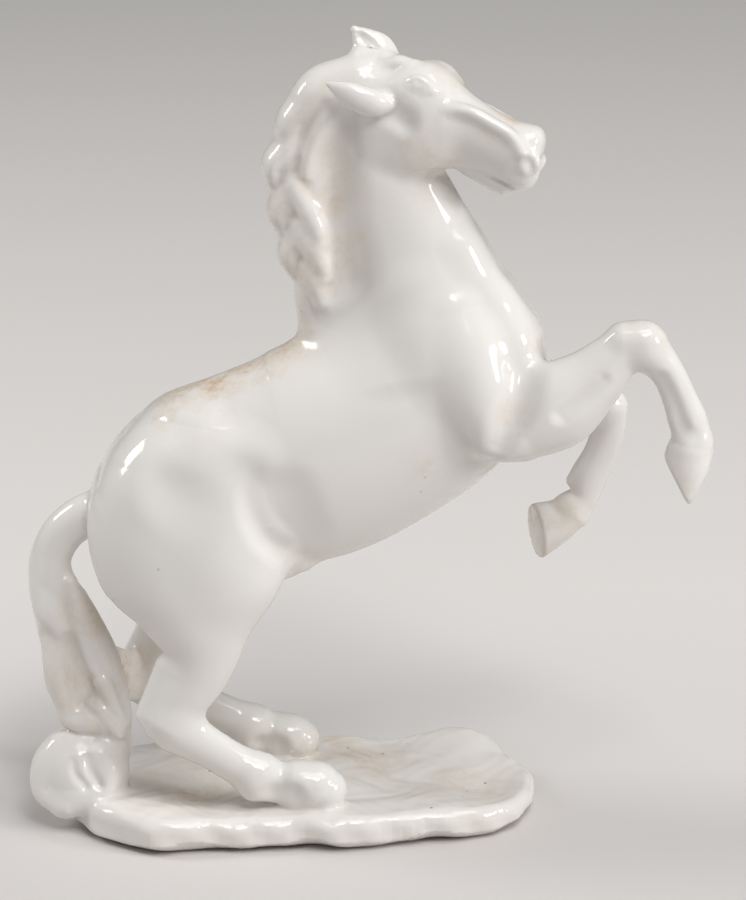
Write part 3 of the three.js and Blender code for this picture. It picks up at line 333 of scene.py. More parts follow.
# %% [markdown]
# ## The face
# The temples are pressed in, and bony ridges run from the eyes to the nostrils. The eyes are small rolls
# between thin lids. Nostrils and mouth are pressed last, so that no later roll fills them again.

# %% Face rolls
eyes = face_pair([(12.8, 188.4, 1.1, 1), (14.8, 188, 1, .9)], 7.8)
upper_lids = face_pair([
    (10.6, 188.4, .4, .5), (12.4, 190, .6, .7), (14.8, 189.6, .6, .7), (17, 187.4, .4, .5)], 7.5)
lower_lids = face_pair([(11.4, 187.7, .3, .3), (13.8, 186.8, .4, .4), (16.4, 187, .3, .3)], 8)
face_ridges = face_pair([
    (18.4, 181.4, 1, 1), (20.4, 182.8, 1.4, 1.5), (25.4, 182.4, 1.5, 1.6), (30, 180.2, 1.5, 1.6),
    (34.6, 177.4, 1.5, 1.5), (37.6, 173.2, 1.2, 1.3)], 6.8)
nostril_tool = face_pair([(39.3, 171, 1.2, 1.6), (39.8, 168.8, 1.3, 1.7)], 7.5)
mouth_tool = face_pair([(29.5, 166.4, .4, 1), (33, 165.2, .6, 1.2), (36.2, 163.2, .8, 1.6)], 4.8)
temple_tool = face_pair([(5.4, 186, 2, 2), (7.4, 182.8, 2.8, 2.7), (10.6, 180.4, 2.2, 2.2)], 10.5)


def head(P):
    """Skull and cheeks, then the smaller rolls joined, and the pressed forms last."""
    f = add(skull(P), [right_cheek, left_cheek], 2.6, P)
    f = add(add(f, [forelock], 2, P), [far_brow], 4, P)
    f = add(f, muzzle_sides, 3, P)
    f = add(f, nostril_wings + [chin, upper_lip], 2.2, P)
    f = dig(f, temple_tool, 3.4, P)
    f = add(f, face_ridges, 1.8, P)
    f = add(f, eyes + upper_lids + lower_lids, 1.2, P)
    f = dig(f, nostril_tool, 1.5, P)
    return dig(f, mouth_tool, .9, P)


print("face ridges", len(face_ridges), "and lids", len(upper_lids + lower_lids))

# %% [markdown]
# ## The ears
# The near ear is laid back like a leaf; the far one stands up and shows its hollow side.

# %% Ear rolls
right_ear = Roll([
    (3.8, -10.4, 184, 2.4, 2.6), (1, -12, 184.2, 3.2, 2.8), (-2.2, -12.6, 185.2, 3.3, 2.5),
    (-5.4, -12.6, 186.8, 2.7, 1.9), (-8, -12.3, 188, 1.6, 1.2),
    (-9.8, -12, 188.8, .6, .6)], across=(.15, 1, .2), ends=(.8, 1))
far_ear = Roll([
    (3, 4, 189.4, 4.4, 3), (1.4, 4.8, 193.2, 5, 2.6), (-1.2, 4.8, 196.2, 3.4, 2),
    (-3.8, 4.6, 199, .9, .8)], across=(-.25, 1, .1), ends=(.8, 1))
far_ear_tool = Roll([
    (2, 1.8, 194, 1.8, .9), (-.6, 2.6, 196, 1.7, .8),
    (-2.5, 3.4, 197.8, .8, .5)], across=(-.25, 1, .1))


def left_ear(P):
    """The far ear with its hollow pressed in."""
    return press(far_ear(P), far_ear_tool(P), .9)


print("two ears")

# %% [markdown]
# ## The hind legs
# A leg is a chain of rolls: gaskin, cannon bone, pastern, hoof. Each bone swells at its ends. The hocks
# bend so far that the cannon bones lie nearly flat, and the hooves stand on the slab.

# %% Hind leg rolls
right_tendon = Roll([(-50, -17, 45, 2.5, 2.5), (-53.2, -17, 38, 1.7, 2), (-55.4, -17, 32.5, 2, 2.4)])
right_hind_cannon = Roll([
    (-52.5, -17, 31, 4.6, 4.2), (-48, -17, 29, 6.2, 4.8), (-39.5, -17, 23.8, 5, 4.3),
    (-33, -17, 19.6, 5, 4.4), (-27.5, -17, 16.6, 5.8, 5)], ends=(.6, .8))
right_pastern = Roll([
    (-28.5, -17, 15.8, 5.4, 5), (-22.5, -17, 14.7, 5.2, 4.8), (-18, -17, 14.2, 5.4, 5)], ends=(.8, .9))
right_pastern_tool = Roll([(-23, -23.2, 13, 2.6, 2.6), (-19.4, -23.4, 13.6, 2.4, 2.4)])
right_hind_hoof = Roll([
    (-18.5, -17, 14.2, 5.6, 5.6), (-13.5, -17, 13.8, 6.2, 6.2),
    (-11, -17, 12.5, 5.6, 5.8)], ends=(.6, .95))
left_hind_cannon = Roll([
    (-60.4, 18, 28.6, 5, 4.2), (-55, 18, 26.8, 6.2, 4.8), (-43, 18, 22, 5, 4.3),
    (-35, 18, 18.6, 4.9, 4.4), (-29.5, 18, 15.8, 5.5, 4.8)], ends=(.6, .8))
left_pastern = Roll([
    (-30, 18, 15.2, 5.2, 4.8), (-25.5, 18, 14.1, 5, 4.7), (-22, 18, 13.7, 5.1, 4.8)], ends=(.8, .9))
left_pastern_tool = Roll([(-27.4, 12, 12.4, 2.4, 2.4), (-24, 11.8, 12.8, 2.2, 2.2)])
left_hind_hoof = Roll([
    (-23, 18, 13.6, 5.3, 5.4), (-19.5, 18, 13.2, 5.6, 5.7), (-18, 18, 12.4, 5.2, 5.4)], ends=(.6, .95))


def hind_legs(P):
    """The bones of each leg joined; the legs are far apart, so a plain union is enough."""
    right = add(right_hind_cannon(P), [right_pastern], 3, P)
    right = add(right, [right_hind_hoof], 2.6, P)
    right = dig(add(right, [right_tendon], 2.2, P), [right_pastern_tool], 3, P)
    left = add(left_hind_cannon(P), [left_pastern], 4, P)
    left = dig(add(left, [left_hind_hoof], 2.6, P), [left_pastern_tool], 3, P)
    return np.minimum(right, left)


print("two hind legs")

# %% [markdown]
# ## The forelegs
# The forelegs hang free: forearm, shin and hoof, with shallow grooves beside the tendons. A hoof is a roll
# whose front wall and sole are cut flat by planes, with a small rim so that the edge stays soft.

# %% Foreleg rolls


def flat_cut(point, facing):
    """How far a point is past a plane: the offset from a point of it along the unit facing direction."""
    facing = np.asarray(facing, float) / np.linalg.norm(facing)
    return lambda P: (P - np.asarray(point, float)) @ facing


right_forearm = Roll([
    (36, -15, 106, 9, 7.8), (45, -15.5, 111.4, 10.8, 7.8), (53, -15.8, 117.6, 8.2, 6.2),
    (59.5, -16, 124, 6, 5), (65, -16, 126.6, 5.2, 4.8)], ends=(.9, .9))
right_knee = Roll([(60.5, -16, 128.6, 3.2, 4), (66, -16, 128.8, 3, 4)])
right_shin = Roll([
    (66.6, -16, 125.6, 5.2, 4.8), (71.5, -16, 119.4, 4.1, 3.9), (74.4, -16, 113.2, 4.2, 3.5),
    (76.4, -16, 108, 4.7, 3.8), (78, -16, 103.6, 4.3, 3.8), (77.6, -16, 101, 4.8, 4.2)], ends=(.8, .8))
right_hoof = Roll([
    (77.5, -16, 102, 4.7, 4.2), (76.9, -16, 97.5, 6.1, 5.4), (77, -16, 90, 6.6, 5.6)], ends=(.9, .9))
right_sole = flat_cut((74.1, -16, 92.5), (-.88, 0, -.47))
right_wall = flat_cut((80, -16, 92), (.87, 0, -.49))
right_arm_groove = Roll([
    (46, -24.2, 111, 1.4, 1.6), (51, -23.4, 115.2, 1.5, 1.7), (55.6, -22.9, 119, 1, 1.2)])
right_shin_groove = Roll([
    (69.6, -20.8, 118.6, 1.2, 1.2), (72.4, -20.4, 113, 1.3, 1.3), (74.4, -20.4, 108, 1.2, 1.2)])
right_pastern_hollow = Roll([(75.4, -20.8, 104.6, 1.8, 1.6), (77.6, -21, 104, 1.8, 1.6)])
left_forearm = Roll([
    (34, 13, 109, 9, 7.5), (44, 13.8, 105.5, 9, 7), (52, 14, 104, 6.5, 5.6),
    (58.5, 14, 103.6, 4.9, 4.8)], ends=(.9, .9))
left_shin = Roll([
    (59.4, 14, 103, 4.7, 4.6), (59.6, 14, 97.2, 4.2, 3.7), (57.7, 14, 90.6, 4.2, 3.4),
    (55, 14, 84.4, 4.6, 3.7), (53.8, 14, 79.4, 3.8, 3.6), (51, 14, 76, 4.6, 4.3)], ends=(.8, .8))
left_ergot = Roll([(53.5, 14, 86.5, 1.6, 2.2), (50.6, 14, 83.4, 1.3, 1.9)])
left_hoof = Roll([
    (51, 14, 75, 4.6, 4.3), (47, 14, 72.2, 6.2, 5.3), (40.5, 14, 69.2, 7.8, 6)], ends=(.9, .6))
left_sole = flat_cut((41.8, 14, 70), (-.94, -.3, -.13))
left_wall = flat_cut((48.8, 14, 67), (.62, 0, -.79))


def trimmed(hoof, wall, sole, P):
    """A hoof with its front wall and its sole pressed flat."""
    return press(press(hoof(P), -wall(P), 2.4), -sole(P), .9)


def forelegs(P):
    """Forearm and shin joined, grooves pressed in, the trimmed hoof last."""
    right = add(right_forearm(P), [right_shin, right_knee], 3, P)
    right = dig(right, [right_arm_groove, right_shin_groove, right_pastern_hollow], 2.6, P)
    right = join(right, trimmed(right_hoof, right_wall, right_sole, P), 2.4)
    left = add(left_forearm(P), [left_shin], 3, P)
    left = add(left, [left_ergot], 1.5, P)
    left = join(left, trimmed(left_hoof, left_wall, left_sole, P), 2.2)
    return np.minimum(right, left)


print("two forelegs")

# %% [markdown]
# ## The mane
# The mane is a band of clay on the crest with plump locks laid over it. The outer row makes the wavy
# outline behind the neck, a second row curls down each side, and a fill keeps the pits shallow.

# %% Mane rolls
mane_band = Roll([
    (-2, 0, 187, 4, 5), (-8, 0, 183.5, 4.6, 6.4), (-11.5, 0, 176.5, 5, 7), (-13.6, 0, 166, 5.4, 7.4),
    (-13.2, 0, 154, 5.4, 7.6), (-11.4, 0, 143, 5, 7.4), (-10, 0, 131.5, 4, 5.5)])
mane_fill = Roll([
    (-12, 0, 185, 3, 5.6), (-16.6, 0, 179, 3, 6.2), (-18.6, 0, 171, 3.2, 6.4),
    (-19.4, 0, 161.4, 3.2, 6.4), (-17.4, 0, 151.6, 3.2, 6.4), (-14, 0, 140.4, 3, 6)])
crest_locks = [Roll(rows) for rows in (
    [(-4, 0, 189.6, 3, 5), (-11, -.5, 187.6, 3.9, 6), (-15, -1, 184, 3.8, 6), (-16, -1, 180.5, 2.6, 4.6)],
    [(-10.5, 0, 183.5, 3, 5), (-16.5, -.6, 180.8, 3.6, 6.2), (-19.4, -1, 177, 3.4, 6),
     (-19.9, -1, 173, 2.2, 4.6)],
    [(-13.5, 0, 174.5, 3, 5), (-19.5, -.6, 171.2, 3.4, 6.2), (-22.9, -1, 167.6, 3.2, 6),
     (-22.9, -1, 163.6, 2.2, 4.6)],
    [(-15.5, 0, 166, 3, 5), (-19.6, -.6, 160.6, 3.4, 6.2), (-21.7, -1, 156, 3.2, 6),
     (-20.7, -1, 152, 2.2, 4.6)],
    [(-14.5, 0, 156.5, 3, 5), (-17.8, -.6, 150, 3.2, 6.2), (-19.3, -1, 145.4, 3.2, 6),
     (-17.9, -1, 141.4, 2.2, 4.6)],
    [(-12.5, 0, 147.5, 3, 5), (-14.6, -.6, 140.6, 3, 6), (-15.3, -1, 134.4, 3, 5.4),
     (-14, -1, 128.6, 2.4, 4)],
)]
side_locks = sum([pair(rows) for rows in (
    [(-7.6, 6.2, 181.6, 1, 1.2), (-11.6, 6.6, 177.4, 1.2, 1.4), (-14.2, 6.9, 171.6, 1.3, 1.4),
     (-15.2, 7, 166, 1.2, 1.3)],
    [(-18, 6.4, 163, 1.6, 1.6), (-15.2, 7.6, 158, 2.1, 1.9), (-12.8, 8.2, 153.4, 2.3, 2),
     (-11.8, 8, 149.6, 1.8, 1.7)],
    [(-17, 6.2, 153, 1.6, 1.6), (-14.2, 7.5, 148.6, 2.2, 1.9), (-11.8, 8, 144.8, 2.3, 2),
     (-11, 7.6, 141, 1.8, 1.7)],
    [(-15.4, 6, 143, 1.6, 1.6), (-13, 7.2, 138.8, 2, 1.8), (-11.6, 6.8, 134.8, 1.8, 1.6)],
)], [])


def mane(P):
    """Band and fill joined, then the locks laid over them."""
    f = add(join(mane_band(P), mane_fill(P), 3), crest_locks, 2.4, P)
    return add(f, side_locks, 2.4, P)


print("mane locks", len(crest_locks) + len(side_locks))

# %% [markdown]
# ## The tail
# The tail leaves the croup in a bow and hangs in twisted strands: rolls wound along a core, with valleys
# pressed between them. A small web ties it to the far hock, so that it doesn't warp in the kiln.

# %% Tail rolls
tail_core = Roll([
    (-62, 0, 80.5, 5.5, 5), (-70, 0, 78.7, 5.4, 5), (-76, 0, 74, 5.2, 4.8), (-79.2, 0, 67, 5.2, 5),
    (-78.4, 0, 59, 6.2, 6), (-75.6, 0, 51, 7.6, 6.6), (-73, -.5, 44, 7.6, 6.5),
    (-71.5, -1, 35.3, 7.6, 6.5), (-70, -1.5, 27, 7.2, 6.5)], ends=(.6, .6))
strands = [Roll(rows) for rows in (
    [(-79.6, -1.8, 66, 2.6, 2.8), (-80.6, -3.2, 60, 3, 3.2), (-79.2, -4.8, 54.4, 3.4, 3.6),
     (-76.6, -5.6, 50.4, 2.2, 2.6)],
    [(-79.6, -3, 50, 2.4, 2.8), (-78, -4.8, 43.6, 3.5, 4), (-77.4, -5.4, 37.4, 3.5, 4.2),
     (-75.4, -6, 31, 3, 3.4)],
    [(-74, -3, 62, 1.8, 2.2), (-72, -4.6, 55, 2.6, 2.8), (-70.4, -5.6, 48, 2.8, 3),
     (-68, -6.4, 42, 2.4, 2.6), (-66, -7.4, 38, 1.7, 1.9), (-64.4, -8, 34, 1.6, 1.8),
     (-62.8, -8, 30, 1.5, 1.7), (-61.4, -7.4, 27, 1.3, 1.5)],
    [(-72, -2, 58.5, 1.6, 2), (-68.2, -3.2, 51.5, 2, 2.4), (-65.2, -4.2, 45.5, 2, 2.4),
     (-63.4, -5, 40, 2, 2.4), (-62, -5.4, 34, 2, 2.4), (-61.4, -5.8, 27, 2, 2.6), (-62, -6, 19, 2.4, 3)],
    [(-70, -2, 52, 1.6, 3), (-67, -3.6, 43, 3, 4.2), (-65.8, -4, 34, 3.4, 4.4),
     (-65.6, -4.6, 26, 3.6, 4.8)],
    [(-69, -7, 32, 1.2, 1.4), (-66.4, -8.4, 30.6, 1.5, 1.7), (-64, -9, 27.4, 1.6, 1.8),
     (-62.4, -8.6, 24.6, 1.4, 1.6)],
    [(-79, 2, 60, 3, 3), (-80, 3, 51, 3.2, 3.4), (-77.6, 4.2, 41, 3.4, 3.6), (-75.4, 4, 31, 3, 3.4),
     (-75, 1, 20, 3, 3)],
    [(-74, 4, 58, 2, 2.4), (-70, 5, 48, 2.6, 2.6), (-69.6, 5, 38, 2.6, 2.8), (-68, 4, 28, 2.6, 2.6),
     (-68, 1, 19, 3, 3)],
)]
strand_valleys = [Roll(rows) for rows in (
    [(-80.4, -8.2, 62.4, .8, 1.2), (-77.4, -8.6, 60, 1, 1.4), (-75, -8.2, 57.6, .8, 1.2)],
    [(-74.6, -8.6, 49.4, 1.2, 1.6), (-73.6, -8.6, 44.8, 1.7, 2.1), (-72.4, -8.8, 40.4, 1.5, 2),
     (-70.2, -9, 36.4, 1.9, 2.3), (-71.2, -9.4, 32.4, 1.4, 1.8)],
)]
tail_curls = [Roll(rows) for rows in (
    [(-67.6, -7.4, 37.6, 1.2, 1.4), (-65.8, -8.6, 38.4, 1.4, 1.5), (-64.4, -9, 35.2, 1.4, 1.5),
     (-63, -9, 31.4, 1.3, 1.4), (-61.2, -8.2, 27.4, 1.2, 1.4)],
    [(-69, -7.6, 31.8, 1, 1.2), (-66.4, -9, 30.6, 1.3, 1.4), (-64, -9.4, 27.4, 1.4, 1.5),
     (-62.4, -9, 24.6, 1.2, 1.4)],
)]
knot = Roll([(-75, -6.6, 27.8, 2.4, 2.8), (-71.2, -7.8, 27.4, 3, 3), (-67.6, -7.4, 27.4, 2.4, 2.8)])
web = Roll([(-66, 0, 38, 6.5, 2.2), (-63, 8, 34, 6.4, 2), (-60, 15, 31, 6.6, 2.6)], across=(.85, -.5, 0))
print("tail strands", len(strands), "and curls", len(tail_curls))

# %% [markdown]
# ## The tuft
# The tail ends in a tuft that rests on the slab and props the figure: fat curls round a core, with grooves
# drawn into it, which is enough for the eye to read hair.

# %% Tuft rolls
tuft_core = Roll([
    (-70, -3, 22, 6, 6), (-72.4, -6, 16, 10.4, 9), (-72.4, -7, 10, 10.4, 9.2)], ends=(.6, .6))
tuft_curls = [Roll(rows) for rows in (
    [(-65.4, -6, 21, 4, 4.4), (-65.2, -8, 15, 5.2, 5.4), (-66, -9, 9, 5, 5.4)],
    [(-67, -11.4, 20, 2.2, 2.4), (-65, -12.4, 14.5, 2.6, 2.6), (-68.5, -14, 9.4, 3, 2.8),
     (-74.5, -13.4, 7, 3.2, 3.2)],
    [(-77.5, -8, 21, 3, 3.4), (-81, -8.5, 16, 3.4, 4), (-81.2, -9.5, 10, 3.4, 4), (-77, -12, 6.5, 3, 3.4)],
)]
tuft_grooves = [Roll(rows) for rows in (
    [(-73.4, -15, 19.2, .7, .9), (-72.8, -16.1, 16, .9, 1.2), (-70.6, -16.3, 13.4, .8, 1)],
    [(-69.8, -14.6, 20, .9, 1.2), (-69, -15.6, 16.6, 1, 1.3), (-67, -15.8, 13.6, .8, 1)],
)]


def tail(P):
    """Strands joined to the core and valleys pressed, then knot, curls, tuft and web; grooves last."""
    f = dig(add(tail_core(P), strands, 2, P), strand_valleys, 2, P)
    f = add(join(f, knot(P), 2.4), tail_curls, 1.1, P)
    f = join(f, add(tuft_core(P), tuft_curls, 2.4, P), 1.4)
    return dig(add(f, [web], 3, P), tuft_grooves, 1.6, P)


print("tuft curls", len(tuft_curls), "and grooves", len(tuft_grooves))

# %% [markdown]
# ## The slab of ground
# The slab is a flat pad of clay with a wandering edge and a thumbed top. Its plan is a closed curve through
# a few points, kept as a radius for every direction, and its top rises and sinks in soft round swells.

# %% Slab
SLAB_CENTRE = np.array([-18.0, 2.0])
SLAB_TOP = 8.6
SLAB_REACH = 24
EDGE_BEND = 3.4
TINY_TURN = .01
slab_edge = np.array([
    (-76, -8), (-70, -19), (-56, -29), (-40, -30), (-22, -28), (-3, -27), (15, -24), (30, -19.5), (38, -12),
    (42, 0), (41.5, 10), (37, 19), (32, 27), (23, 34.5), (10, 34), (-10, 32.5), (-32, 31.5), (-52, 29),
    (-67, 21), (-75, 7)], float)
swells = [
    (26, 30, 10, 3), (-60, -22, 14, 1.6), (-40, -8, 12, -1.6), (8, 4, 14, -1.4), (30, -2, 12, -1.8),
    (-10, -22, 10, .8), (5, 26, 10, -.8), (-20, 2, 9, .9), (-64, 8, 12, .8), (16, -14, 9, .7)]
laps = np.vstack([slab_edge[-1:], slab_edge, slab_edge[:2]])
edge_cubics = cubic_spans(laps)[:, 1:-1]
steps = np.linspace(0, 1, 6, endpoint=False)[:, None, None]
edge_line = sum(c * steps**n for n, c in enumerate(edge_cubics)).transpose(1, 0, 2).reshape(-1, 2)
edge_line = edge_line - SLAB_CENTRE
edge_turn = np.arctan2(edge_line[:, 1], edge_line[:, 0])
edge_reach = np.hypot(edge_line[:, 0], edge_line[:, 1])


def ground(x, y):
    """Height of the slab's top: SLAB_TOP, a crossed ripple of sines, and round swells.

    A swell adds its height times exp(-(distance / size) squared).
    """
    ripple = .2 * np.sin(.31 * x + 1.3 * np.sin(.21 * y)) * np.sin(.36 * y + 1.1 * np.sin(.17 * x))
    ripple = ripple + .07 * np.sin(.8 * x + 2 * np.sin(.33 * y)) * np.sin(.7 * y + 2 * np.sin(.29 * x))
    rise = sum(h * np.exp(-((x - gx)**2 + (y - gy)**2) / r**2) for gx, gy, r, h in swells)
    return SLAB_TOP + ripple + rise


def slab_field(P):
    """A pad with rounded edges: distance past the plan's edge and past the top or bottom.

    The two are joined by a quarter circle of EDGE_BEND. The edge wanders in and out by a sum of sines of
    the place, and slopes in below a wavy foot line.
    """
    x, y, z = P.T
    d = P[:, :2] - SLAB_CENTRE
    turn = np.arctan2(d[:, 1], d[:, 0])
    reach = np.interp(turn, edge_turn, edge_reach, period=2 * np.pi)
    ahead = np.interp(turn + TINY_TURN, edge_turn, edge_reach, period=2 * np.pi)
    slope = (ahead - reach) / TINY_TURN / reach
    past_edge = (np.hypot(d[:, 0], d[:, 1]) - reach) / np.sqrt(1 + slope**2)
    wave = .7 * np.sin(.13 * x + 1.1 * np.sin(.11 * y + .5)) + .5 * np.sin(.29 * x - .21 * y + .7)
    past_edge = past_edge + .6 + wave + .2 * np.sin(.55 * x + .4 * y + .5 * z)
    foot = 2.9 + .8 * np.sin(.19 * x + .12 * y + 1) + .3 * np.sin(.47 * x - .3 * y)
    past_edge = past_edge + .8 * np.maximum(foot - z, 0)
    half = ground(x, y) / 2
    u = past_edge + EDGE_BEND
    v = np.abs(z - half) - half + EDGE_BEND
    corner = np.hypot(np.maximum(u, 0), np.maximum(v, 0))
    return np.minimum(np.maximum(u, v), 0) + corner - EDGE_BEND


def slab(P):
    """Points lower than SLAB_REACH are asked; the others are simply FAR."""
    close = P[:, 2] < SLAB_REACH
    out = np.full(len(P), FAR)
    if close.any():
        out[close] = slab_field(P[close])
    return out


print("slab spans", np.round(edge_line.max(0) - edge_line.min(0), 1), "mm")

# %% [markdown]
# ## One skin
# The parts are joined with small fillets and then get one mesh.
# A mesh of this kind can't be a single grid of two parameters, because legs and tail branch off the body.
# So we use surface nets: space is halved into blocks that the surface may cross, down to small cells;
# each crossed cell gets one vertex, and each crossed cell edge gets one face between its four cells.

# %% The whole figure


def animal(P):
    """Body, head and legs with fillets between them, and the groove behind each arm pressed in."""
    f = join(trunk_and_neck(P), head(P), 4)
    f = join(join(f, hind_legs(P), 4), forelegs(P), 4)
    return dig(f, arm_groove, 4, P)


def figure(P):
    """The animal with ears, mane, tail and slab, each with the fillet that the slip leaves there."""
    f = animal(P)
    f = join(join(f, right_ear(P), 1.6), left_ear(P), 5)
    f = join(f, mane(P), 4.5)
    f = join(f, tail(P), 2)
    return join(f, slab(P), 2)


def asked(field, P, most=120000):
    """The field at many points, in portions that fit in memory."""
    return np.concatenate([field(P[i:i + most]) for i in range(0, len(P), most)])


print("figure at the heart of the barrel", figure(np.array([[0.0, 0.0, 100.0]])).round(1))

# %% Surface nets
CORNERS = np.array([(x, y, z) for x in (0, 1) for y in (0, 1) for z in (0, 1)])
BLOCK = 16
KEEP_WITHIN = 1.7


def name_of(cells):
    """One whole number for each cell: its three counts packed side by side."""
    return (cells[:, 0] << 42) + (cells[:, 1] << 21) + cells[:, 2]


def crossed_cells(field, low, high, size):
    """Blocks are halved down to single cells; one stays if its middle is within KEEP_WITHIN sides."""
    side = BLOCK
    cells = np.argwhere(np.ones(np.ceil((high - low) / (size * side)).astype(int), bool))
    while True:
        far = np.abs(asked(field, low + size * side * (cells + 0.5)))
        cells = cells[far < KEEP_WITHIN * size * side]
        if side == 1:
            return cells
        cells = (2 * cells[:, None] + CORNERS).reshape(-1, 3)
        side //= 2


def nets(field, low, high, size):
    """Vertices at the mean of each cell's edge crossings, and a quad round every crossed edge."""
    cells = crossed_cells(field, low, high, size)
    points = (cells[:, None] + CORNERS).reshape(-1, 3)
    _, first, back = np.unique(name_of(points), return_index=True, return_inverse=True)
    value = asked(field, low + size * points[first])[back].reshape(-1, 8)
    inside = value < 0
    mixed = inside.any(1) & ~inside.all(1)
    order = np.argsort(name_of(cells[mixed]))
    cells, value, inside = cells[mixed][order], value[mixed][order], inside[mixed][order]
    total = np.zeros((len(cells), 3))
    number = np.zeros((len(cells), 1))
    quads = []
    for axis, jump in enumerate((4, 2, 1)):
        step = np.eye(3)[axis]
        for a in np.flatnonzero(CORNERS[:, axis] == 0):
            b = a + jump
            cut = (inside[:, a] != inside[:, b])[:, None]
            gap = np.where(cut, (value[:, a] - value[:, b])[:, None], 1)
            total += np.where(cut, CORNERS[a] + step * value[:, a, None] / gap, 0)
            number += cut
        edge = inside[:, 0] != inside[:, jump]
        u, v = np.roll(np.eye(3, dtype=int), -axis - 1, axis=0)[:2]
        here = cells[edge]
        around = np.stack([name_of(c) for c in (here - u - v, here - v, here, here - u)], 1)
        ring = np.searchsorted(name_of(cells), around)
        flip = inside[edge, jump]
        ring[flip] = ring[flip, ::-1]
        quads.append(ring)
    return low + size * (cells + total / number), np.vstack(quads)

# %% [markdown]
# ## Settle the skin
# A vertex of the net is only near the surface. Two steps down the slope of the field put it on, and the
# same slope is its normal, smoother than one worked out from the faces.

# %% Settle
LONGEST_STEP = 0.4
LEAST_SLOPE = 0.5
BOX_LOW = np.array([-90.0, -36.0, -3.0])
BOX_HIGH = np.array([88.0, 40.0, 206.0])


def settle(field, V, nudge=0.04):
    """Two Newton steps along the slope; the last slope, made one long, is the normal."""
    for _ in range(2):
        f = asked(field, V)
        slope = np.stack([asked(field, V + nudge * step) - f for step in np.eye(3)], 1) / nudge
        steep = np.maximum(np.sqrt((slope * slope).sum(1)), LEAST_SLOPE)[:, None]
        V = V - np.clip(f[:, None] / steep, -LONGEST_STEP, LONGEST_STEP) * slope / steep
    return V, slope / np.linalg.norm(slope, axis=1)[:, None]


CELL = 0.75
skin, quads = nets(figure, BOX_LOW, BOX_HIGH, CELL)
skin, normals = settle(figure, skin)
skin[:, 2] = np.maximum(skin[:, 2], 0)
print("skin", len(skin), "vertices,", len(quads), "quads of about", CELL, "mm")

# %% [markdown]
# ## Where the glaze is stained, with painted shade in its creases
# Old white glaze yellows where hands and dust reach it: along the back, on the nose, in creases and at the
# hooves. We store two numbers on every vertex. Stain sums soft spots at listed places. Hollow measures how
# far the neighbours stand above the surface, and gives creases ochre that is part yellowed glaze and part
# painted shade, so they read darker than ridges.

# %% Stain and hollow
stain_spots = [
    (-46, 2, 113, 16, .7), (-32, 2, 117, 14, .7), (-18, 2, 122, 10, .5), (20, -6, 188, 7, .6),
    (30, -9, 180, 7, .8), (38, -11, 174, 6, .6), (16, -6, 165, 7, .7), (40, -9, 122, 7, .7),
    (-22, -8, 71, 7, .9), (33, -20, 107, 6, .8), (14, -21, 96, 4, .7), (-68, -1, 54, 5, .7),
    (-63, -1, 45, 5, .9), (-61, 0, 37, 5, .8), (-60, 8, 34, 8, .8), (-70, -9, 22, 6, .4),
    (-15, -4, 165, 13, .45), (-13, -5, 146, 13, .45), (-10, 0, 185, 9, .4), (80, -16, 92, 8, .6),
    (44, 14, 72, 10, .9), (66, -16, 130, 6, .5), (-76, -4, 52, 12, .3), (-72, -6, 36, 12, .35),
    (10, -13, 175, 9, .35), (-44, -8, 8, 14, .8), (0, 10, 8, 16, .5), (24, -4, 8, 12, .5),
    (-10, 28, 9, 14, .5)]


def stain_at(P):
    """Sum over the spots of strength times exp(-(distance / size) squared), held below one."""
    total = sum(w * np.exp(-((P - np.array([x, y, z]))**2).sum(1) / r**2)
                for x, y, z, r, w in stain_spots)
    return np.clip(total, 0, 1)


def hollow_at(V, N, Q, rounds=3):
    """Mean height of a vertex's neighbours over its tangent plane, evened out over a few rounds."""
    a = np.concatenate([Q[:, i] for i in range(4)])
    b = np.concatenate([Q[:, (i + 1) % 4] for i in range(4)])
    count = np.maximum(np.bincount(a, minlength=len(V)), 1)
    rise = np.bincount(a, ((V[b] - V[a]) * N[a]).sum(1), minlength=len(V)) / count
    for _ in range(rounds):
        rise = 0.5 * rise + 0.5 * np.bincount(a, rise[b], minlength=len(V)) / count
    return rise / CELL


stain = stain_at(skin)
hollow = hollow_at(skin, normals, quads)
print("stain mean", stain.mean().round(3))
print("hollow from", hollow.min().round(3), "to", hollow.max().round(3))

# %% [markdown]
# ## Seams
# The moulds part the figure at the neck, the head, the legs and the tail, as the solid model does.
# Each seam is a number that changes sign across it: a plane for a sawn joint, or which clay is nearer for
# hair laid on the body. Triangles that a seam crosses are split along it, so both pieces share the line.

# %% Seams
NOWHERE = -1.0
FIRST_SEAM = 8


def plane(at, out):
    """How far each vertex is past a plane through at that faces out."""
    return flat_cut(at, out)(skin)


x, y, z = skin.T
body_far = asked(animal, skin)
tail_far = asked(tail, skin)
behind_rump = x < -45
above_throat = z > 150
below_breast = z < 140
# The left fore hoof hangs back behind the plane of its joint, so a corner round it is added
hanging_hoof = np.minimum(x - 36, 90 - z)
fore = np.maximum(plane((46, -15.3, 111), (1, 0, .1)), hanging_hoof)
right_hind = plane((-41.2, -16.3, 47.5), (-.15, 0, -.99))
left_hind = plane((-50.3, 18, 44.5), (-.4, 0, -.92))
seams = {
    "base": np.minimum(body_far, tail_far) - asked(slab, skin),
    "mane": body_far - asked(mane, skin),
    "right_ear": body_far - asked(right_ear, skin),
    "left_ear": body_far - asked(left_ear, skin),
    "tail": np.where(behind_rump, body_far - tail_far, NOWHERE),
    "tuft": plane((-70.3, -1.3, 25), (0, -.1, -1)),
    "head": np.where(above_throat, plane((0, 0, 178), (.6, 0, .8)), NOWHERE),
    "neck": plane((10, 0, 134), (-.27, 0, .96)),
    "fore": np.where(below_breast, fore, NOWHERE),
    "right_hind_leg": np.where((y < 0) & (x < 0), right_hind, NOWHERE),
    "left_hind_leg": np.where((y > 0) & (x < 0), left_hind, NOWHERE),
    "right": -y,
}
seam_column = {name: FIRST_SEAM + i for i, name in enumerate(seams)}
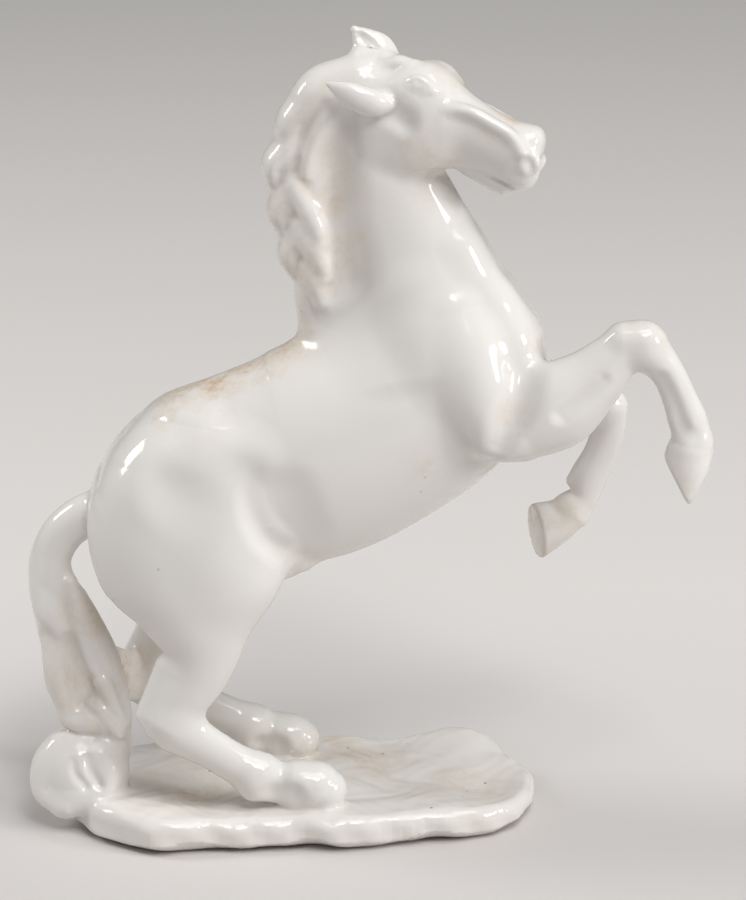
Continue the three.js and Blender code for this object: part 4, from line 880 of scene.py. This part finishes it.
# Columns: place 0 to 2, normal 3 to 5, stain 6, hollow 7, then the seams
data = np.column_stack([skin, normals, stain, hollow] + list(seams.values()))
print("seams", list(seams))

# %% Cut along the seams
ON_THE_LINE = 1e-5
triangles = np.vstack([quads[:, [0, 1, 2]], quads[:, [0, 2, 3]]])


def split(data, T, column):
    """Triangles with corners on both sides get two new corners where the number in that column is zero."""
    s = np.where(np.abs(data[:, column]) < ON_THE_LINE, ON_THE_LINE, data[:, column])
    data[:, column] = s
    above = (s > 0)[T]
    count = above.sum(1)
    mixed = (count == 1) | (count == 2)
    C = T[mixed]
    lone = np.where(count[mixed] == 1, above[mixed].argmax(1), (~above[mixed]).argmax(1))
    a, b, c = np.take_along_axis(C, (lone[:, None] + np.arange(3)) % 3, 1).T
    ends, back = np.unique(np.sort(np.vstack([np.c_[a, b], np.c_[a, c]]), 1), axis=0, return_inverse=True)
    p, q = ends.T
    t = (s[p] / (s[p] - s[q]))[:, None]
    new = data[p] + (data[q] - data[p]) * t
    new[:, column] = 0
    ab, ac = back.reshape(2, -1) + len(data)
    cut = np.vstack([np.c_[a, ab, ac], np.c_[ab, b, c], np.c_[ab, c, ac]])
    return np.vstack([data, new]), np.vstack([T[~mixed], cut])


for seam in seams:
    if seam != "right":
        data, triangles = split(data, triangles, seam_column[seam])
print("after the cuts", len(triangles), "triangles")

# %% [markdown]
# ## Name every triangle
# No triangle straddles a seam now. The first name that claims one gets it, and the trunk takes the rest.

# %% Names
side_of = {name: data[triangles, column].sum(1) > 0 for name, column in seam_column.items()}
side_of["tail_tuft"] = side_of["tail"] & side_of["tuft"]
side_of["right_foreleg"] = side_of["fore"] & side_of["right"]
side_of["left_foreleg"] = side_of["fore"]
side_of["trunk"] = np.ones(len(triangles), bool)
names = ["base", "mane", "right_ear", "left_ear", "tail_tuft", "tail", "head", "neck", "right_foreleg",
         "left_foreleg", "right_hind_leg", "left_hind_leg", "trunk"]
owner = np.select([side_of[name] for name in names], np.arange(len(names)))
print({name: int((owner == i).sum()) for i, name in enumerate(names)})

# %% [markdown]
# ## Closed pieces
# A cut piece is open where it was cut. Each open rim is closed with a fan of triangles to the rim's middle.
# The skin keeps the normals of the clay itself, so light runs across a joint as if there were none.

# %% Make the pieces
DOUBLINGS = 16


def unit(V):
    """The same directions with length one."""
    return V / np.maximum(np.linalg.norm(V, axis=1), 1e-9)[:, None]


def rims(T, count):
    """Edges that only one triangle has, and the number of each one's loop, by doubling jumps."""
    e = np.vstack([T[:, [0, 1]], T[:, [1, 2]], T[:, [2, 0]]])
    forward = e[:, 0] * count + e[:, 1]
    lonely = e[~np.isin(forward, e[:, 1] * count + e[:, 0])]
    follow = np.arange(count)
    follow[lonely[:, 0]] = lonely[:, 1]
    loop = np.arange(count)
    for _ in range(DOUBLINGS):
        loop = np.minimum(loop, loop[follow])
        follow = follow[follow]
    return lonely, loop[lonely[:, 0]]


def make_piece(name, material):
    """The skin of that name, and a fan from every rim to the mean of its points."""
    T = triangles[owner == names.index(name)]
    used, T = np.unique(T, return_inverse=True)
    T = T.reshape(-1, 3)
    rows = data[used]
    rim, loop = rims(T, len(rows))
    kinds, which = np.unique(loop, return_inverse=True)
    sums = np.stack([np.bincount(which, rows[rim[:, 0], k], minlength=len(kinds))
                     for k in range(FIRST_SEAM)], 1)
    middles = sums / np.bincount(which, minlength=len(kinds))[:, None]
    V = np.vstack([rows[:, :3], middles[:, :3]])
    caps = np.c_[rim[:, 1], rim[:, 0], len(rows) + which]
    mesh = bpy.data.meshes.new(name)
    mesh.from_pydata((V + PLACE) * MM, [], np.vstack([T, caps]))
    mesh.shade_smooth()
    bend = np.vstack([rows[:, 3:6], np.zeros((len(kinds), 3))])
    flat = np.cross(V[caps[:, 1]] - V[caps[:, 0]], V[caps[:, 2]] - V[caps[:, 0]])
    corners = [unit(bend)[T].reshape(-1, 3), np.repeat(unit(flat), 3, axis=0)]
    mesh.normals_split_custom_set(np.vstack(corners))
    for k, field_name in ((6, "stain"), (7, "hollow")):
        layer = mesh.attributes.new(field_name, "FLOAT", "POINT")
        layer.data.foreach_set("value", np.concatenate([rows[:, k], middles[:, k]]).astype(np.float32))
    mesh.materials.append(material)
    piece = put_in_scene(name + "_glazed", mesh)
    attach(piece, "root")
    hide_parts(name)
    print(name, len(T) + len(caps), "triangles,", len(kinds), "rims closed")
    return piece


# %% [markdown]
# ## The glaze
# White porcelain under a clear glaze: a warm white, yellowed in places, with ochre in the hollows that is
# partly painted shade, and a few brown kiln specks.
# The tone is a node group, so the horse and the slab share it with their own strengths. The gloss is a low
# roughness with a faint swim in the surface, because glaze never dries perfectly flat.

# %% Node helpers


def linear(r, g, b):
    """A display colour of 0 to 255, made linear: ((c + 0.055) / 1.055) to the power 2.4."""
    return tuple(((c / 255 + 0.055) / 1.055)**2.4 for c in (r, g, b)) + (1.0,)


def fill(node, values):
    """Each named input gets its value."""
    for socket, value in values.items():
        node.inputs[socket].default_value = value


def noise(tree, where, scale, detail, rough):
    """A soft cloud between zero and one."""
    node = tree.nodes.new("ShaderNodeTexNoise")
    fill(node, {"Scale": scale, "Detail": detail, "Roughness": rough})
    tree.links.new(where, node.inputs["Vector"])
    return node.outputs["Fac"]


def ramp(tree, value, low, high, to_low=0.0, to_high=1.0):
    """A smooth step: to_low below low, to_high above high."""
    node = tree.nodes.new("ShaderNodeMapRange")
    node.interpolation_type = "SMOOTHSTEP"
    tree.links.new(value, node.inputs["Value"])
    fill(node, {"From Min": low, "From Max": high, "To Min": to_low, "To Max": to_high})
    return node.outputs["Result"]


def times(tree, a, b):
    """The product, held between zero and one."""
    node = tree.nodes.new("ShaderNodeMath")
    node.operation = "MULTIPLY"
    node.use_clamp = True
    tree.links.new(a, node.inputs[0])
    tree.links.new(b, node.inputs[1])
    return node.outputs[0]


def mixed(tree, mask, a, b):
    """Colour a where the mask is zero, b where it is one."""
    node = tree.nodes.new("ShaderNodeMix")
    node.data_type = "RGBA"
    tree.links.new(mask, node.inputs["Factor"])
    tree.links.new(a, node.inputs["A"])
    tree.links.new(b, node.inputs["B"])
    return node.outputs["Result"]


def stored(tree, name):
    """The number kept on the mesh."""
    node = tree.nodes.new("ShaderNodeAttribute")
    node.attribute_name = name
    return node.outputs["Fac"]

# %% Glaze tone group


def glaze_tone():
    """Colour: white to cream by stain and cloud, ochre in hollows as part yellowed glaze and part painted
    shade, brown in specks. Swim: soft noise.
    """
    tree = bpy.data.node_groups.new("glaze_tone", "ShaderNodeTree")
    for way, kind, sockets in (
        ("INPUT", "Color", ("White", "Cream", "Ochre", "Speck")),
        ("INPUT", "Float", ("Stain amount", "Crease ochre and shade amount", "Speck amount")),
        ("OUTPUT", "Color", ("Color",)),
        ("OUTPUT", "Float", ("Rough", "Swim")),
    ):
        for socket in sockets:
            tree.interface.new_socket(socket, in_out=way, socket_type="NodeSocket" + kind)
    given = tree.nodes.new("NodeGroupInput").outputs
    result = tree.nodes.new("NodeGroupOutput").inputs
    where = tree.nodes.new("ShaderNodeTexCoord").outputs["Object"]
    cloud = ramp(tree, noise(tree, where, 95, 5, .62), .36, .64)
    fine = ramp(tree, noise(tree, where, 420, 4, .6), .42, .62)
    grit = ramp(tree, noise(tree, where, 900, 3, .6), .3, .6, .55, 1)
    spots = times(tree, stored(tree, "stain"), cloud)
    tint = times(tree, times(tree, spots, given["Stain amount"]), grit)
    # Painted shade: hollows get ochre, more where the glaze is stained; part of it is yellowed glaze, part
    # painted crease shade.
    deep = ramp(tree, stored(tree, "hollow"), .02, .2)
    crease_ochre_and_shade = times(tree, deep, ramp(tree, stored(tree, "stain"), .05, .5, .35, 1))
    crease_ochre_and_shade = times(tree, crease_ochre_and_shade, given["Crease ochre and shade amount"])
    grain = tree.nodes.new("ShaderNodeTexVoronoi")
    fill(grain, {"Scale": 210})
    tree.links.new(where, grain.inputs["Vector"])
    dots = ramp(tree, grain.outputs["Distance"], .05, .11, 1, 0)
    dots = times(tree, dots, ramp(tree, noise(tree, where, 60, 2, .5), .56, .66))
    dots = times(tree, dots, given["Speck amount"])
    tone = mixed(tree, tint, given["White"], given["Cream"])
    # Ochre over the hollows: part yellowed glaze, part painted shade.
    tone = mixed(tree, crease_ochre_and_shade, tone, given["Ochre"])
    tone = mixed(tree, times(tree, times(tree, spots, fine), tint), tone, given["Ochre"])
    tone = mixed(tree, dots, tone, given["Speck"])
    tree.links.new(tone, result["Color"])
    tree.links.new(ramp(tree, spots, 0, 1, .1, .24), result["Rough"])
    tree.links.new(noise(tree, where, 150, 2, .45), result["Swim"])
    return tree


glaze_group = glaze_tone()
print("glaze group with", len(glaze_group.nodes), "nodes")

# %% Two glazes
CREAM = linear(216, 196, 170)
OCHRE = linear(198, 168, 128)
BROWN = linear(120, 86, 52)


def glaze(name, white, stain_amount, crease_ochre_and_shade_amount, speck_amount):
    """A glossy material whose colour, roughness and swim come from the tone group."""
    material = bpy.data.materials.new(name)
    material.use_nodes = True
    nodes, links = material.node_tree.nodes, material.node_tree.links
    shader = nodes["Principled BSDF"]
    fill(shader, {"IOR": 1.5})
    tone = nodes.new("ShaderNodeGroup")
    tone.node_tree = glaze_group
    fill(tone, {"White": white, "Cream": CREAM, "Ochre": OCHRE, "Speck": BROWN})
    fill(tone, {"Stain amount": stain_amount, "Crease ochre and shade amount": crease_ochre_and_shade_amount, "Speck amount": speck_amount})
    swim = nodes.new("ShaderNodeBump")
    fill(swim, {"Strength": .12, "Distance": .0004})
    links.new(tone.outputs["Swim"], swim.inputs["Height"])
    links.new(tone.outputs["Color"], shader.inputs["Base Color"])
    links.new(tone.outputs["Rough"], shader.inputs["Roughness"])
    links.new(swim.outputs["Normal"], shader.inputs["Normal"])
    return material


# The fourth number sets how strong the ochre in the hollows is, part yellowed glaze and part painted shade.
porcelain = glaze("porcelain_glaze", linear(232, 229, 225), .8, .4, .25)
slab_glaze = glaze("slab_glaze", linear(230, 226, 221), .65, .4, .7)
print("glazes", porcelain.name, slab_glaze.name)

# %% [markdown]
# ## Thirteen pieces
# Every casting becomes an object of its own that rides on the body and replaces its solid.

# %% The thirteen pieces
for name in names:
    piece = make_piece(name, slab_glaze if name == "base" else porcelain)

# %% [markdown]
# ## The floor
# A pale sheet of paper runs back under the figure. The lamps are strongest near the camera, so the paper is
# a little darker there and paler far back, and the picture only fades gently towards the top.

# %% Paper floor
FADE_FRONT = -.2
FADE_BACK = 1.3
paper = bpy.data.materials.new("paper")
paper.use_nodes = True
nodes, links = paper.node_tree.nodes, paper.node_tree.links
place = nodes.new("ShaderNodeTexCoord")
apart = nodes.new("ShaderNodeSeparateXYZ")
fade = nodes.new("ShaderNodeMapRange")
fill(fade, {"From Min": FADE_FRONT, "From Max": FADE_BACK})
shade = nodes.new("ShaderNodeValToRGB")
shade.color_ramp.elements[0].color = linear(205, 201, 199)
shade.color_ramp.elements[0].position = .06
shade.color_ramp.elements[1].color = linear(252, 249, 245)
middle = shade.color_ramp.elements.new(.25)
middle.color = linear(231, 227, 224)
links.new(place.outputs["Object"], apart.inputs[0])
links.new(apart.outputs["Y"], fade.inputs["Value"])
links.new(fade.outputs["Result"], shade.inputs["Fac"])
links.new(shade.outputs["Color"], nodes["Principled BSDF"].inputs["Base Color"])
fill(nodes["Principled BSDF"], {"Roughness": .8})
sheet = bpy.data.meshes.new("paper_floor")
sheet.from_pydata([(-4, -4, 0), (4, -4, 0), (4, 5, 0), (-4, 5, 0)], [], [(0, 1, 2, 3)])
sheet.materials.append(paper)
floor = put_in_scene("paper_floor", sheet)
print("floor", floor.name)

# %% [markdown]
# ## The light
# Soft boxes to the left and right put the long highlights on rump and chest. A wide panel above and a small
# fill in front keep the shadows open, as in a studio tent.

# %% Soft boxes
AIM = Vector((0, 0, .1))


def soft_box(name, turn, rise, far, wide, tall, power):
    """A rectangular lamp far metres from the horse, turn degrees round from the camera and rise above."""
    lamp = bpy.data.lights.new(name, "AREA")
    lamp.shape = "RECTANGLE"
    lamp.size = wide
    lamp.size_y = tall
    lamp.energy = power
    holder = put_in_scene(name, lamp)
    a, b = math.radians(turn), math.radians(rise)
    out = Vector((math.sin(a) * math.cos(b), -math.cos(a) * math.cos(b), math.sin(b)))
    holder.location = AIM + far * out
    holder.rotation_euler = (-out).to_track_quat("-Z", "Y").to_euler()


soft_box("left_box", -98, 34, 1.2, .34, .42, 4.6)
soft_box("right_box", 69, 19, 1.2, .26, .3, 4.8)
soft_box("top_panel", 40, 62, 1.7, 1.2, 1, 14)
soft_box("front_fill", 15, 48, 1.6, .4, .32, 4.6)
world = bpy.data.worlds.new("studio")
world.use_nodes = True
fill(world.node_tree.nodes["Background"], {"Color": (1, .99, .98, 1), "Strength": .22})
bpy.context.scene.world = world
print("four soft boxes and a dim room")
